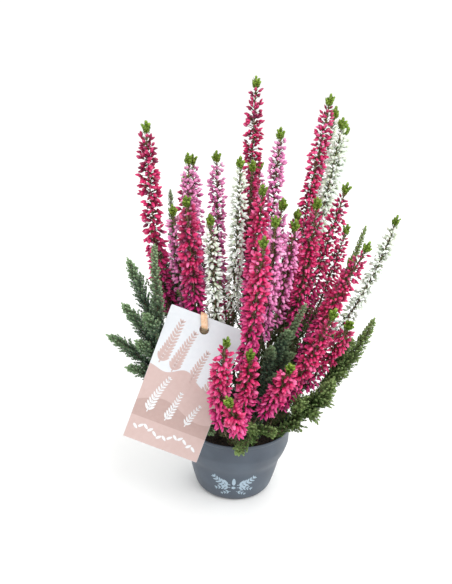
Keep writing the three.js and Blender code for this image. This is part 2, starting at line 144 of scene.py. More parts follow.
def leafMaterial(name, look):
    # small fleshy scale leaves: matt, mottled, with a paler tip
    material, tree, shader = startMaterial(name, {"Roughness": look["roughness"], "IOR": 1.4})
    tone, age, reach = (
        addNode(tree, "Attribute", {}, attribute_name=key)["Fac"] for key in ("tone", "age", "reach")
    )
    place = addNode(tree, "TexCoord", {})["Object"]
    # patches about 1.2 mm wide
    grain = addNode(tree, "TexNoise", {"Vector": place, "Scale": patternScale(1.2)})["Fac"]
    colour = addNode(tree, "ValToRGB", {"Fac": tone}, look["tones"])["Color"]
    hexText, young = look["young"]
    for source, start, most in ((age, 0.5, young), (reach, 0.4, 0.4)):
        share = addNode(tree, "MapRange", {0: source, 1: start, 2: 1.0, 3: 0, 4: most})["Result"]
        colour = addNode(tree, "Mix", {0: share, 6: colour, 7: srgb(hexText)}, data_type="RGBA")[2]
    share = addNode(tree, "MapRange", {0: grain, 1: 0.3, 2: 0.75, 3: 0, 4: 0.35})["Result"]
    mottled = {0: share, 6: colour, 7: srgb("#ced4cb")}
    colour = addNode(tree, "Mix", mottled, data_type="RGBA", blend_type="MULTIPLY")[2]
    normal = addNode(tree, "Bump", {"Height": grain, "Distance": 0.15 * mm})["Normal"]
    connect(tree, shader, {"Base Color": colour, "Normal": normal})
    return material


# tones run from shade to light; each other colour has the largest share that is mixed in:
# young toward a spike's top, low toward its foot, and at the ends of each bud a painted shade at the foot and
# a painted highlight at the tip
crimsonBud = budMaterial("crimson waxy sepal", {
    "tones": [(0.0, "#640a34"), (0.35, "#bc0f55"), (0.7, "#e0286f"), (1.0, "#f272a8")],
    "young": ("#8e2450", 0.5), "low": ("#d83c98", 0.65), "foot": ("#4a0c28", 0.5), "tip": ("#f58cb8", 0.35),
    "roughness": 0.42,
})
pinkBud = budMaterial("lilac papery sepal", {
    "tones": [(0.0, "#ae4c88"), (0.35, "#ea7cbc"), (0.7, "#f7a0d2"), (1.0, "#fdcae8")],
    "young": ("#e6b0d0", 0.4), "low": ("#b0347f", 0.5), "foot": ("#6a3056", 0.5), "tip": ("#f8d0ea", 0.3),
    "roughness": 0.5,
})
whiteBud = budMaterial("cream papery sepal", {
    "tones": [(0.0, "#d6e4c8"), (0.35, "#edf8ee"), (0.7, "#f5fdf8"), (1.0, "#fbffff")],
    "young": ("#dbe2c6", 0.5), "low": ("#f8f8f4", 0.3), "foot": ("#9cab70", 0.5), "tip": ("#ffffff", 0.5),
    "roughness": 0.5,
})
calyxLeaf = leafMaterial("brown-green calyx scale", {
    "tones": [(0.0, "#3a2618"), (0.5, "#644a30"), (1.0, "#6c7c3a")],
    "young": ("#86983f", 0.4), "roughness": 0.6,
})
scaleLeaf = leafMaterial("dark heather scale leaf", {
    "tones": [(0.0, "#24331b"), (0.5, "#40542f"), (1.0, "#67804a")],
    "young": ("#7d974f", 0.5), "roughness": 0.6,
})
tuftLeaf = leafMaterial("fresh green tip leaf", {
    "tones": [(0.0, "#48701c"), (0.5, "#72962e"), (1.0, "#98b848")],
    "young": ("#a8c25c", 0.3), "roughness": 0.5,
})
greyLeaf = leafMaterial("grey-green scale leaf", {
    "tones": [(0.0, "#243c32"), (0.5, "#527163"), (1.0, "#8aa88e")],
    "young": ("#aecb98", 0.75), "roughness": 0.62,
})
mossLeaf = leafMaterial("moss-green scale leaf", {
    "tones": [(0.0, "#3a5528"), (0.5, "#5c7a42"), (1.0, "#8ba666")],
    "young": ("#aec682", 0.65), "roughness": 0.62,
})


def barkMaterial():
    # young heather wood: dull brown-grey bark in fine lengthwise flakes
    material, tree, shader = startMaterial("brown heather bark", {"Roughness": 0.8})
    place = addNode(tree, "TexCoord", {})["Object"]
    long = addNode(tree, "Mapping", {"Vector": place, "Scale": (1, 1, 0.25)})["Vector"]
    flakes = addNode(tree, "TexNoise", {"Vector": long, "Scale": patternScale(0.7), "Detail": 4})["Fac"]
    stops = [(0.3, "#3b2c22"), (0.5, "#75604c"), (0.72, "#a08d76")]
    colour = addNode(tree, "ValToRGB", {"Fac": flakes}, stops)["Color"]
    normal = addNode(tree, "Bump", {"Height": flakes, "Distance": 0.25 * mm})["Normal"]
    connect(tree, shader, {"Base Color": colour, "Normal": normal})
    return material


def peatMaterial():
    # damp peat: nearly black crumbs with brown fibres and a dull, slightly moist surface
    material, tree, shader = startMaterial("damp crumbled peat", {"Roughness": 0.9})
    place = addNode(tree, "TexCoord", {})["Object"]
    crumbs = addNode(tree, "TexNoise", {"Vector": place, "Scale": patternScale(1.6), "Detail": 6})["Fac"]
    stops = [(0.3, "#0e0a08"), (0.5, "#241a13"), (0.68, "#4a3626"), (0.8, "#6d5238")]
    colour = addNode(tree, "ValToRGB", {"Fac": crumbs}, stops)["Color"]
    normal = addNode(tree, "Bump", {"Height": crumbs, "Distance": 0.6 * mm})["Normal"]
    connect(tree, shader, {"Base Color": colour, "Normal": normal})
    return material


def potMaterial():
    # injection-moulded polypropylene: satin slate grey with a faint grain from the mould,
    # and specks of peat toward the rim
    looks = {"IOR": 1.49, "Specular IOR Level": 0.45}
    material, tree, shader = startMaterial("slate moulded polypropylene", looks)
    place = addNode(tree, "TexCoord", {})["Object"]
    height = addNode(tree, "SeparateXYZ", {"Vector": place})["Z"]
    cloud = addNode(tree, "TexNoise", {"Vector": place, "Scale": patternScale(28), "Detail": 5})["Fac"]
    specks = addNode(tree, "TexNoise", {"Vector": place, "Scale": patternScale(1.8), "Detail": 6})["Fac"]
    # the mould's grain is finer; it is drawn 0.45 mm wide so that it shows
    grain = addNode(tree, "TexNoise", {"Vector": place, "Scale": patternScale(0.45)})["Fac"]
    stops = [(0.3, "#414a56"), (0.55, "#4b5561"), (0.8, "#57626e")]
    colour = addNode(tree, "ValToRGB", {"Fac": cloud}, stops)["Color"]
    marks = addNode(tree, "MapRange", {0: specks, 1: 0.6, 2: 0.72})["Result"]
    nearRim = addNode(tree, "MapRange", {0: height, 1: 0.05, 2: 0.07, 3: 0, 4: 0.45})["Result"]
    share = addNode(tree, "Math", {0: marks, 1: nearRim}, operation="MULTIPLY")[0]
    colour = addNode(tree, "Mix", {0: share, 6: colour, 7: srgb("#3a3028")}, data_type="RGBA")[2]
    satin = addNode(tree, "MapRange", {0: cloud, 1: 0.3, 2: 0.7, 3: 0.36, 4: 0.5})["Result"]
    normal = addNode(tree, "Bump", {"Height": grain, "Distance": 0.03 * mm})["Normal"]
    connect(tree, shader, {"Base Color": colour, "Roughness": satin, "Normal": normal})
    return material


def paperMaterial(name, hexText, dark, roughness):
    # coated card or ink on it: an even colour with the slight cloud of pressed fibres
    looks = {"Roughness": roughness, "IOR": 1.5, "Specular IOR Level": 0.35}
    material, tree, shader = startMaterial(name, looks)
    place = addNode(tree, "TexCoord", {})["Object"]
    # clouds of fibres 3.5 mm wide, and a 0.3 mm grain in the coat
    fibres = addNode(tree, "TexNoise", {"Vector": place, "Scale": patternScale(3.5), "Detail": 5})["Fac"]
    fine = addNode(tree, "TexNoise", {"Vector": place, "Scale": patternScale(0.3)})["Fac"]
    share = addNode(tree, "MapRange", {0: fibres, 1: 0.35, 2: 0.75, 3: 0, 4: 0.6})["Result"]
    colour = addNode(tree, "Mix", {0: share, 6: srgb(hexText), 7: srgb(dark)}, data_type="RGBA")[2]
    normal = addNode(tree, "Bump", {"Height": fine, "Distance": 0.01 * mm})["Normal"]
    connect(tree, shader, {"Base Color": colour, "Normal": normal})
    return material


def rubberMaterial():
    # natural latex strap: warm, slightly translucent peach with a dusting of talc
    looks = {"Roughness": 0.55, "Subsurface Weight": 0.25, "Subsurface Scale": 0.002, "IOR": 1.52}
    material, tree, shader = startMaterial("natural latex", looks)
    place = addNode(tree, "TexCoord", {})["Object"]
    talc = addNode(tree, "TexNoise", {"Vector": place, "Scale": patternScale(1.5), "Detail": 4})["Fac"]
    stops = [(0.3, "#e0ae84"), (0.55, "#eac6a2"), (0.8, "#f4dcc2")]
    colour = addNode(tree, "ValToRGB", {"Fac": talc}, stops)["Color"]
    normal = addNode(tree, "Bump", {"Height": talc, "Distance": 0.05 * mm})["Normal"]
    connect(tree, shader, {"Base Color": colour, "Normal": normal})
    return material


heatherBark = barkMaterial()
dampPeat = peatMaterial()
slatePlastic = potMaterial()
paleInk = paperMaterial("pale blue-grey pad ink", "#a7bac8", "#94a9b8", 0.5)
whiteCard = paperMaterial("white coated card", "#dce1e5", "#d4dadf", 0.42)
roseInk = paperMaterial("dusty rose print", "#c8b1ac", "#c1a8a2", 0.45)
roseDeep = paperMaterial("deeper rose print", "#b89f99", "#b09690", 0.45)
whiteInk = paperMaterial("white print", "#e2e4e6", "#dcdfe1", 0.45)
peachRubber = rubberMaterial()
print("materials made")

# Meshes


def newPile(*materials):
    lists = {key: [] for key in ("points", "corners", "sizes", "slots", "tone", "age", "reach")}
    return {"materials": materials, "count": 0, **lists}


def pour(pile, template, turns, places, tone, age, slot=0):
    # copies of a template: turns are 3 by 3 matrices that hold the scale too
    points, faces, reach = template
    count, each = len(places), len(points)
    if not count:
        return
    pile["points"].append((np.einsum("nij,vj->nvi", turns, points) + places[:, None]).reshape(-1, 3))
    corners = np.concatenate([np.array(face) for face in faces])
    offsets = pile["count"] + np.arange(count)[:, None] * each
    pile["corners"].append((corners[None] + offsets).ravel())
    pile["sizes"].append(np.tile([len(face) for face in faces], count))
    pile["slots"].append(np.full(count * len(faces), slot))
    pile["tone"].append(np.repeat(tone, each))
    pile["age"].append(np.repeat(age, each))
    pile["reach"].append(np.tile(reach, count))
    pile["count"] += count * each


def pourMesh(pile, points, faces, slot=0):
    template = (np.asarray(points, float), faces, np.zeros(len(points)))
    pour(pile, template, np.eye(3)[None], np.zeros((1, 3)), np.array([0.5]), np.array([0.0]), slot)


def pileToPiece(name, pile, nodes):
    mesh = bpy.data.meshes.new(name)
    points = np.concatenate(pile["points"]) * mm
    corners = np.concatenate(pile["corners"])
    sizes = np.concatenate(pile["sizes"])
    mesh.vertices.add(len(points))
    mesh.vertices.foreach_set("co", points.ravel())
    mesh.loops.add(len(corners))
    mesh.loops.foreach_set("vertex_index", corners)
    mesh.polygons.add(len(sizes))
    mesh.polygons.foreach_set("loop_start", np.concatenate([[0], np.cumsum(sizes)[:-1]]))
    mesh.polygons.foreach_set("material_index", np.concatenate(pile["slots"]))
    mesh.polygons.foreach_set("use_smooth", np.full(len(sizes), True))
    for key in ("tone", "age", "reach"):
        layer = mesh.attributes.new(key, "FLOAT", "POINT")
        layer.data.foreach_set("value", np.clip(np.concatenate(pile[key]), 0, 1))
    mesh.update(calc_edges=True)
    mesh.validate()
    for material in pile["materials"]:
        mesh.materials.append(material)
    piece = addObject(name, mesh)
    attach(piece, "root")
    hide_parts(*nodes)


def lathed(profile, sides, lobes=0, depth=0.0):
    # a closed form turned about Z: profile is (radius, height) pairs, its ends closed by a point at radius 0
    points, faces, rings = [], [], []
    for radius, height in profile:
        if radius == 0:
            rings.append([len(points)])
            points.append((0, 0, height))
            continue
        angles = 2 * math.pi * np.arange(sides) / sides
        reach = radius * (1 + depth * np.cos(lobes * angles))
        rings.append(list(range(len(points), len(points) + sides)))
        points += [(r * math.cos(a), r * math.sin(a), height) for r, a in zip(reach, angles)]
    for low, high in zip(rings, rings[1:]):
        for k in range(sides):
            n = (k + 1) % sides
            if len(low) == 1:
                faces.append((low[0], high[n], high[k]))
            elif len(high) == 1:
                faces.append((low[k], low[n], high[0]))
            else:
                faces.append((low[k], low[n], high[n], high[k]))
    return np.array(points, float), faces


def withReach(form):
    points, faces = form
    return points, faces, points[:, 2] / points[:, 2].max()


# Templates, one long along Z and about one wide
budForm = withReach(lathed([(0, 0), (0.37, 0.1), (0.51, 0.42), (0.3, 0.79), (0, 1)], 6, 3, 0.1))
stickForm = withReach((  # a three-sided stalk, open at its buried ends
    np.array([(0.5 * math.cos(a), 0.5 * math.sin(a), z) for z in (0, 1) for a in (0, 2.09, 4.19)]),
    [(0, 1, 4, 3), (1, 2, 5, 4), (2, 0, 3, 5)],
))
leafForm = withReach((  # a keeled, pointed scale, hollow on the side to its twig
    np.array([(0, 0, 0), (-0.5, 0, 0.5), (0.5, 0, 0.5), (0, 0.42, 0.46), (0, -0.03, 1)], float),
    [(0, 2, 3), (0, 3, 1), (2, 4, 3), (3, 4, 1)],
))
bluntForm = withReach((  # a plump young leaf with a rounded tip
    np.array([
        (0, 0, 0), (-0.5, 0, 0.36), (-0.42, 0, 0.8), (0, 0, 1), (0.42, 0, 0.8), (0.5, 0, 0.36),
        (0, 0.45, 0.55),
    ], float),
    [(0, 5, 6), (5, 4, 6), (4, 3, 6), (3, 2, 6), (2, 1, 6), (1, 0, 6)],
))


def unit(v):
    return v / np.maximum(np.linalg.norm(v, axis=-1, keepdims=True), 1e-9)


def bases(axis, face, wide, thick, long):
    # matrices whose Z runs along axis and whose Y leans to face, with their own scale each way
    axis = unit(axis)
    side = unit(np.cross(face, axis))
    scaled = (side, wide), (np.cross(axis, side), thick), (axis, long)
    return np.stack([way * np.reshape(size, (-1, 1)) for way, size in scaled], -1)


def tube(path, radii, sides):
    # a tube along points, with its ends drawn to a point
    path, count = np.asarray(path, float), len(path)
    along = unit(np.gradient(path, axis=0))
    second = unit(np.cross(along, np.array([1.0, 0.001, 0])))
    first = np.cross(second, along)
    angles = 2 * math.pi * np.arange(sides) / sides
    rings = path[:, None] + np.reshape(radii, (-1, 1, 1)) * (
        first[:, None] * np.cos(angles)[None, :, None] + second[:, None] * np.sin(angles)[None, :, None]
    )
    points = np.concatenate([rings.reshape(-1, 3), path[:1], path[-1:]])
    faces = []
    for n in range(count - 1):
        for k in range(sides):
            m = (k + 1) % sides
            faces.append((n * sides + k, n * sides + m, (n + 1) * sides + m, (n + 1) * sides + k))
    for k in range(sides):
        m = (k + 1) % sides
        faces.append((count * sides, m, k))
        faces.append((count * sides + 1, (count - 1) * sides + k, (count - 1) * sides + m))
    return points, faces


# Where everything grows

peatTop = 61
plantRules = {
    # how far leaves, tufts, buds and the card keep others away
    "leafReach": 3.8, "tuftReach": 4.2, "budReach": 8.5, "tagClear": 3.5,
    "neckLength": 14,  # of the stem above its buds
    "budOverlap": 4,  # how far their reach goes on below them
    "footReach": 1.6, "stemWidening": 8, "shootWidening": 14,
    "stemFoot": 2, "shootFoot": -1,  # where they start, from the top of the peat
    "offCrown": 1.8,
}
tag = {
    "width": 68, "height": 122, "thick": 0.6, "corner": 1.2, "holeRadius": 4.2, "holeDrop": 11,
    "centre": (-47.7, -50.3, 130.7), "roll": 17.8, "lean": -18, "turn": -0.6,
}
crowns = {
    "crimson_left": (-28, -4), "crimson_back": (4, 24), "crimson_right": (28, -10),
    "crimson_front": (-3, -33), "pink_left": (-22, 20), "pink_middle": (8, -3),
    "white_front": (-13, -16), "white_right": (26, 20),
}
# Spikes by crown: the tip's x, y, z, the length in bud, and how soon the stem turns upright
spikes = {
    "crimson_left": [(-88, 10, 343, 150, 0.8), (-50, -44, 294, 98, 0.3), (-60, 84, 285, 100, 0)],
    "crimson_back": [(3, 14, 314, 95, 0), (3, 46, 381, 145, 0), (-28, 112, 225, 90, 0)],
    "crimson_right": [
        (67, 30, 370, 150, -0.7), (82, -10, 303, 115, -0.5), (55, -36, 295, 110, 0), (44, 2, 276, 80, 0),
        (98, -48, 264, 115, 0), (92, -18, 242, 75, 0), (100, 72, 245, 90, 0), (71, -80, 217, 108, 0),
        (87, -62, 200, 85, 0),
    ],
    "crimson_front": [
        (11, -36, 304, 115, 0), (12, -84, 275, 115, 0), (-12, -96, 196, 90, 1), (6, -88, 181, 80, 0.9),
        (-9, -107, 146, 48, 1), (38, -92, 172, 75, 0.6),
    ],
    "pink_left": [
        (-53, 18, 317, 110, 0.2), (-50, 38, 313, 100, 0), (-29, 36, 317, 110, 0), (-63, -15, 279, 90, 0.3),
        (-90, 62, 240, 90, 0),
    ],
    "pink_middle": [
        (26, 25, 341, 125, 0), (29, -18, 289, 90, 0), (21, -58, 284, 100, 0), (38, -46, 279, 85, 0),
        (12, 95, 300, 100, 0), (62, 122, 205, 85, 0),
    ],
    "white_front": [(-31, -30, 276, 105, 0), (-8, -12, 321, 120, 0)],
    "white_right": [
        (76, 56, 357, 130, 0.2), (80, 36, 350, 105, 0), (90, 74, 340, 110, 0), (134, 20, 269, 115, 0.5),
        (76, 102, 255, 85, 0),
    ],
}
# Leafy shoots: foot, tip, reach of the leaves, how soon it turns upright,
# and its twigs, each with its tip and the share of the shoot where it leaves
shoots = {
    "left": ((-38, -12), (-76, -30, 248), 7, 1, [
        (-99, -22, 231, 0.42), (-101, -36, 195, 0.3), (-115, -30, 163, 0.18), (-82, -44, 190, 0.3),
        (-89, -42, 164, 0.2), (-98, -36, 136, 0.14), (-22, -58, 88, 0.08),
    ]),
    "left_back": ((-36, 12), (-68, 22, 283), 5.5, 0.5, [(-80, 34, 226, 0.4), (-78, 16, 204, 0.3)]),
    "middle": ((20, -28), (51, -50, 209), 7, 0, [
        (39, -58, 186, 0.45), (25, -60, 172, 0.3), (44, -46, 160, 0.3), (33, -57, 143, 0.2),
    ]),
    "right": ((38, -16), (113, -30, 189), 7, 0, [
        (94, -34, 169, 0.45), (101, -26, 152, 0.4), (91, -34, 139, 0.38),
    ]),
    "right_low": ((33, -25), (78, -58, 143), 7, 0, [
        (76, -64, 128, 0.45), (66, -66, 114, 0.35), (53, -52, 94, 0.2), (52, -70, 126, 0.3),
        (62, -48, 112, 0.3),
    ]),
    "right_back": ((40, 5), (107, 20, 258), 5, 0, [(98, 34, 206, 0.4), (88, 6, 158, 0.2)]),
    "front_low": ((13, -39), (10, -72, 103), 6, 0, [(32, -70, 98, 0.4), (0, -73, 80, 0.5)]),
    "back_left": ((-14, 36), (-86, 96, 150), 7, 0, [(-56, 96, 134, 0.3), (-82, 60, 126, 0.3)]),
    "back_right": ((20, 36), (92, 104, 150), 7, 0, [(56, 98, 132, 0.3), (86, 66, 124, 0.3)]),
}

tagTurn = (
    Matrix.Rotation(math.radians(tag["turn"]), 4, "Z")
    @ Matrix.Rotation(math.radians(tag["lean"]), 4, "X")
    @ Matrix.Rotation(math.radians(tag["roll"]), 4, "Y")
)
tagPlace = Matrix.Translation(Vector(tag["centre"])) @ tagTurn


def onTag(x, y, z):
    return np.array(tagPlace @ Vector((x, y, z)))


def bezier(control, t):
    t = np.asarray(t, float)[..., None]
    u = 1 - t
    return u**3 * control[0] + 3 * t * u**2 * control[1] + 3 * t * t * u * control[2] + t**3 * control[3]


def headings(control, t):
    t = np.asarray(t, float)[..., None]
    steps = np.diff(control, axis=0)
    return unit((1 - t) ** 2 * steps[0] + 2 * t * (1 - t) * steps[1] + t * t * steps[2])


def pathLength(control):
    return np.linalg.norm(np.diff(bezier(control, np.linspace(0, 1, 201)), axis=0), axis=1).sum()


def stemPath(foot, tip, upright=0.0):
    # a stem leans out from its foot and then rises; a low one arches over
    foot, tip = np.array(foot, float), np.array(tip, float)
    across, rise = (tip - foot) * (1, 1, 0), tip[2] - foot[2]
    arch = min(1, max(0, 1.6 - rise / 90))
    lowOut, lowUp = 0.36 - 0.3 * arch + 0.3 * upright, 0.32 + 0.3 * arch - 0.08 * upright
    highOut, highUp = 0.76 - 0.16 * arch + 0.24 * upright, 0.66 + 0.3 * arch
    low = foot + across * lowOut + (0, 0, lowUp * rise)
    high = foot + across * highOut + (0, 0, highUp * rise)
    return np.array([foot, low, high, tip])


def reachAt(plant, t):
    fromTip = (1 - t) * plant.get("length", 0)
    if plant["kind"] == "tag":
        return plantRules["tagClear"]
    if plant["kind"] == "shoot":
        return min(plant["reach"], plantRules["footReach"] + plantRules["shootWidening"] * t)
    if fromTip < plantRules["neckLength"]:
        return plantRules["tuftReach"]
    if fromTip < plantRules["neckLength"] + plant["inBud"] + plantRules["budOverlap"]:
        return plantRules["budReach"]
    return min(plantRules["leafReach"], plantRules["footReach"] + plantRules["stemWidening"] * t)


def layPlants():
    plants = []
    for crown, rows in spikes.items():
        cx, cy = crowns[crown]
        for n, (x, y, z, inBud, upright) in enumerate(rows):
            out = unit(np.array([x - cx, y - cy, 0.0])) * plantRules["offCrown"]
            foot = np.array([cx, cy, peatTop + plantRules["stemFoot"]]) + out
            plants.append({
                "kind": "spike", "crown": crown, "name": f"{crown}_{n + 1}", "inBud": inBud,
                "path": stemPath(foot, (x, y, z), upright),
            })
    for name, (foot, tip, reach, upright, twigs) in shoots.items():
        plants.append({
            "kind": "shoot", "crown": name, "name": name, "reach": reach, "twigs": twigs,
            "path": stemPath((*foot, peatTop + plantRules["shootFoot"]), tip, upright),
        })
    for plant in plants:
        plant["length"] = pathLength(plant["path"])
    return plants


easing = {
    "samples": 20,  # places compared on each path
    "clear": 0.9,  # mm between neighbours
    "rounds": 220, "share": 0.35,  # of what is short, taken up in one round
    "sameCrown": 6, "otherCrown": 2,  # samples left out at the foot
}


def easeApart(plants):
    # bends the paths until neighbours have room, with the feet and tips kept: the same rule as in the solids
    half = tag["height"] / 2
    lines = []
    for x in range(-30, 31, 10):
        ends = np.array([onTag(x, 0, z) for z in (-half, -half / 3, half / 3, half)])
        lines.append({"kind": "tag", "crown": None, "path": ends})
    everything = plants + lines
    samples = easing["samples"]
    t = np.arange(samples + 1) / samples
    lowShare, highShare = 3 * t * (1 - t) ** 2, 3 * t * t * (1 - t)
    room = np.array([[reachAt(plant, each) for each in t] for plant in everything]).ravel()
    control = np.array([plant["path"] for plant in everything])
    owner = np.repeat(np.arange(len(everything)), samples + 1)
    step = np.tile(np.arange(samples + 1), len(everything))

    def pointsNow():
        return np.stack([bezier(each, t) for each in control]).reshape(-1, 3)

    level = pointsNow()[:, 2]
    names = [plant["crown"] if plant["crown"] in crowns else n for n, plant in enumerate(everything)]
    crown = np.array([names.index(name) for name in names])
    fixed = np.array([plant["kind"] == "tag" for plant in everything])
    one, two = np.triu_indices(len(owner), 1)
    need = room[one] + room[two] + easing["clear"]
    keep = (owner[one] != owner[two]) & (np.abs(level[one] - level[two]) < need)
    first = np.where(crown[owner[one]] == crown[owner[two]], easing["sameCrown"], easing["otherCrown"])
    keep &= (step[one] >= first) & (step[two] >= first) & ~(fixed[owner[one]] & fixed[owner[two]])
    one, two, need = one[keep], two[keep], need[keep]
    for _ in range(easing["rounds"]):
        points = pointsNow()
        gap = points[one] - points[two]
        short = need - np.linalg.norm(gap, axis=1)
        hit = short > 0
        away = gap[hit] * (1, 1, 0)
        away[np.linalg.norm(away, axis=1) < 0.01] = (1, 0, 0)
        away = unit(away) * (easing["share"] * short[hit])[:, None]
        for side, sign in ((one[hit], 1), (two[hit], -1)):
            who, where = owner[side], step[side]
            move = away * sign * ~fixed[who][:, None]
            np.add.at(control[:, 1], who, move * lowShare[where][:, None])
            np.add.at(control[:, 2], who, move * highShare[where][:, None])
    for plant, path in zip(everything, control):
        plant["path"] = path
    for plant in plants:
        plant["length"] = pathLength(plant["path"])


plants = layPlants()
easeApart(plants)
print(f"{len(plants)} stems and shoots laid")

# Buds

goldenAngle = 2.39996  # radians from one leaf or cluster to the next
budRules = {
    # bud sizes and spacing in mm, how far old buds nod in degrees, how far out they stand in mm
    "crimson": {
        "material": crimsonBud, "long": (4.2, 5.4), "wide": (2.2, 2.8), "spacing": 0.37,
        "nod": 20, "out": 4.6,
    },
    "pink": {
        "material": pinkBud, "long": (3.6, 4.6), "wide": (2.2, 2.8), "spacing": 0.37,
        "nod": 24, "out": 4.6,
    },
    "white": {
        "material": whiteBud, "long": (4.6, 5.8), "wide": (2.1, 2.7), "spacing": 0.44,
        "nod": 30, "out": 3.9,
    },
}
spikeRules = {
    "cluster": 3,  # buds that share a place on the stem
    "past": 3,  # mm of buds beyond the length in bud
    "sparse": 16,  # mm under the tuft with fewer buds
    "alongSpread": 0.9, "turnSpread": 0.42, "sideSpread": 0.45,
    "youngPitch": 38, "pitchSpread": 22,  # degrees
    "stalk": 0.55, "calyx": (1.0, 0.9, 1.8), "leafStep": 0.9, "leafLong": (2.4, 3.8),
    "leafTurn": 2.1,  # radians
    "leavesPast": 11,  # mm of leaves beyond the length in bud
    # the low front spikes are paler, those at the back deeper
    "tones": {"crimson_front": 0.15, "crimson_right": 0.06, "crimson_back": -0.08, "crimson_left": -0.05},
    "plump": {"crimson_left": 1.22, "crimson_front": 1.12, "pink_left": 1.08, "pink_middle": 1.08},
}


def acrossPath(path, t):
    # the place, the heading and two directions across it
    along = headings(path, t)
    second = unit(np.cross(along, np.array([1.0, 0, 0])))
    return bezier(path, t), along, np.cross(second, along), second


def around(first, second, turn):
    # the directions at those angles round a stem
    return first * np.cos(turn)[:, None] + second * np.sin(turn)[:, None]


def addBuds(plant, seed):
    crown = plant["crown"]
    colour = crown.split("_")[0]
    rules, group = budRules[colour], spikeRules["cluster"]
    rng = np.random.default_rng(seed)
    start = plant["length"] - plantRules["neckLength"] - plant["inBud"]
    whole = plant["inBud"] + spikeRules["past"]
    places, s = [], 0.3
    while s < whole:
        places.append(s)
        young = max(0, 1 - (whole - s) / spikeRules["sparse"])
        s += rules["spacing"] * rng.uniform(0.7, 1.3) * (1 + 1.3 * young)
    s = np.array(places)
    count = len(s)
    cluster = np.arange(count) // group
    s = np.clip(s[cluster * group] + rng.normal(0, spikeRules["alongSpread"], count), 0, whole)
    age = s / whole
    at, along, first, second = acrossPath(plant["path"], (start + s) / plant["length"])
    out = around(first, second, cluster * goldenAngle + rng.normal(0, spikeRules["turnSpread"], count))
    # the spike is slimmer toward both ends
    full = np.clip(0.5 + 0.5 * (whole - s) / 20, 0.5, 1) * np.clip(0.75 + s / 30, 0.75, 1)
    depth = rng.random(count) ** 0.6
    foot = 1.0 + rules["out"] * full * depth
    # young buds point up, old ones nod
    young = np.clip((age - 0.75) / 0.25, 0, 1)
    old = np.clip((0.9 - age) / 0.5, 0, 1)
    pitch = spikeRules["youngPitch"] * young - rules["nod"] * old
    pitch = np.radians(pitch + rng.normal(0, spikeRules["pitchSpread"], count))
    sideways = np.cross(along, out) * rng.normal(0, spikeRules["sideSpread"], count)[:, None]
    axis = unit(out * np.cos(pitch)[:, None] + along * np.sin(pitch)[:, None] + sideways)
    size = spikeRules["plump"].get(crown, 1)
    long = rng.uniform(*rules["long"], count) * (0.72 + 0.28 * full) * size
    wide = rng.uniform(*rules["wide"], count) * (0.75 + 0.25 * full) * size
    long *= np.interp(age, [0, 0.5], [1.14, 1])  # the oldest buds, low down, are long and slim
    wide *= np.interp(age, [0, 0.5], [0.82, 1])
    foot *= size
    place = at + out * foot[:, None] + along * (rng.random(count) * 1.5)[:, None]
    # buds set deep in the spike get a lower tone and those standing out a higher one: painted shade inside
    # the spike
    tone = rng.normal(0.1 + 0.5 * depth + spikeRules["tones"].get(crown, 0), 0.2)
    tone = np.clip(tone, 0, 1)
    if crown == "crimson_front":
        age = age * 0.7  # riper and pinker
    pile = newPile(rules["material"], scaleLeaf if colour == "white" else calyxLeaf)
    pour(pile, budForm, bases(axis, out, wide, wide, long), place, tone, age)
    root = at + out * 0.4 - along * 1.2
    stalk = spikeRules["stalk"]
    reach = np.linalg.norm(place - root, axis=1) + 0.3
    # the stalks take the bud's tone, painted shade included, lowered toward the dark end
    pour(pile, stickForm, bases(place - root, out, stalk, stalk, reach), root, tone * 0.6, age * 0.5, 1)
    spread = unit(np.cross(axis, out)) * rng.choice((-1, 1), count)[:, None]
    turns = bases(unit(axis + spread * 0.4), spread, *spikeRules["calyx"])
    pour(pile, leafForm, turns, place - axis * 0.25, rng.random(count), age, 1)
    # small leaves of the flowering stem, between the buds
    n = int(plant["inBud"] / spikeRules["leafStep"])
    s = np.linspace(0, plant["inBud"] + spikeRules["leavesPast"], n)
    at, along, first, second = acrossPath(plant["path"], (start + s) / plant["length"])
    out = around(first, second, np.arange(n) * spikeRules["leafTurn"])
    axis = unit(out * 0.9 + along)
    turns = bases(axis, out, 1.3, 1.0, rng.uniform(*spikeRules["leafLong"], n))
    pour(pile, leafForm, turns, at + out * 0.5, rng.random(n), s / whole, 1)
    pileToPiece(f"spike_{plant['name']}", pile, [f"buds_{plant['name']}"])


for n, plant in enumerate(plants):
    if plant["kind"] == "spike":
        addBuds(plant, 40 + n)
print("buds placed")

# Leafy stems, tufts and crowns

stemRules = {
    "leafStep": 1.7, "leafLong": 2.5, "twigStep": 2.8, "twigLong": (5.0, 8.5),
    "branchStep": 13, "branchLong": (18, 32), "frontBranches": 0.4,
    "lobes": 6, "lobeLong": (4.2, 6.2), "leaderLong": 7.6,
    "shares": (0, 0.1, 0.6, 1), "radii": (1.5, 1.15, 0.8, 0.5),
}
# a form, its length in mm and its width as a share of that
scaleLeafOn = (leafForm, 2.6, 0.62)
tuftLeafOn = (bluntForm, 3.0, 0.8)


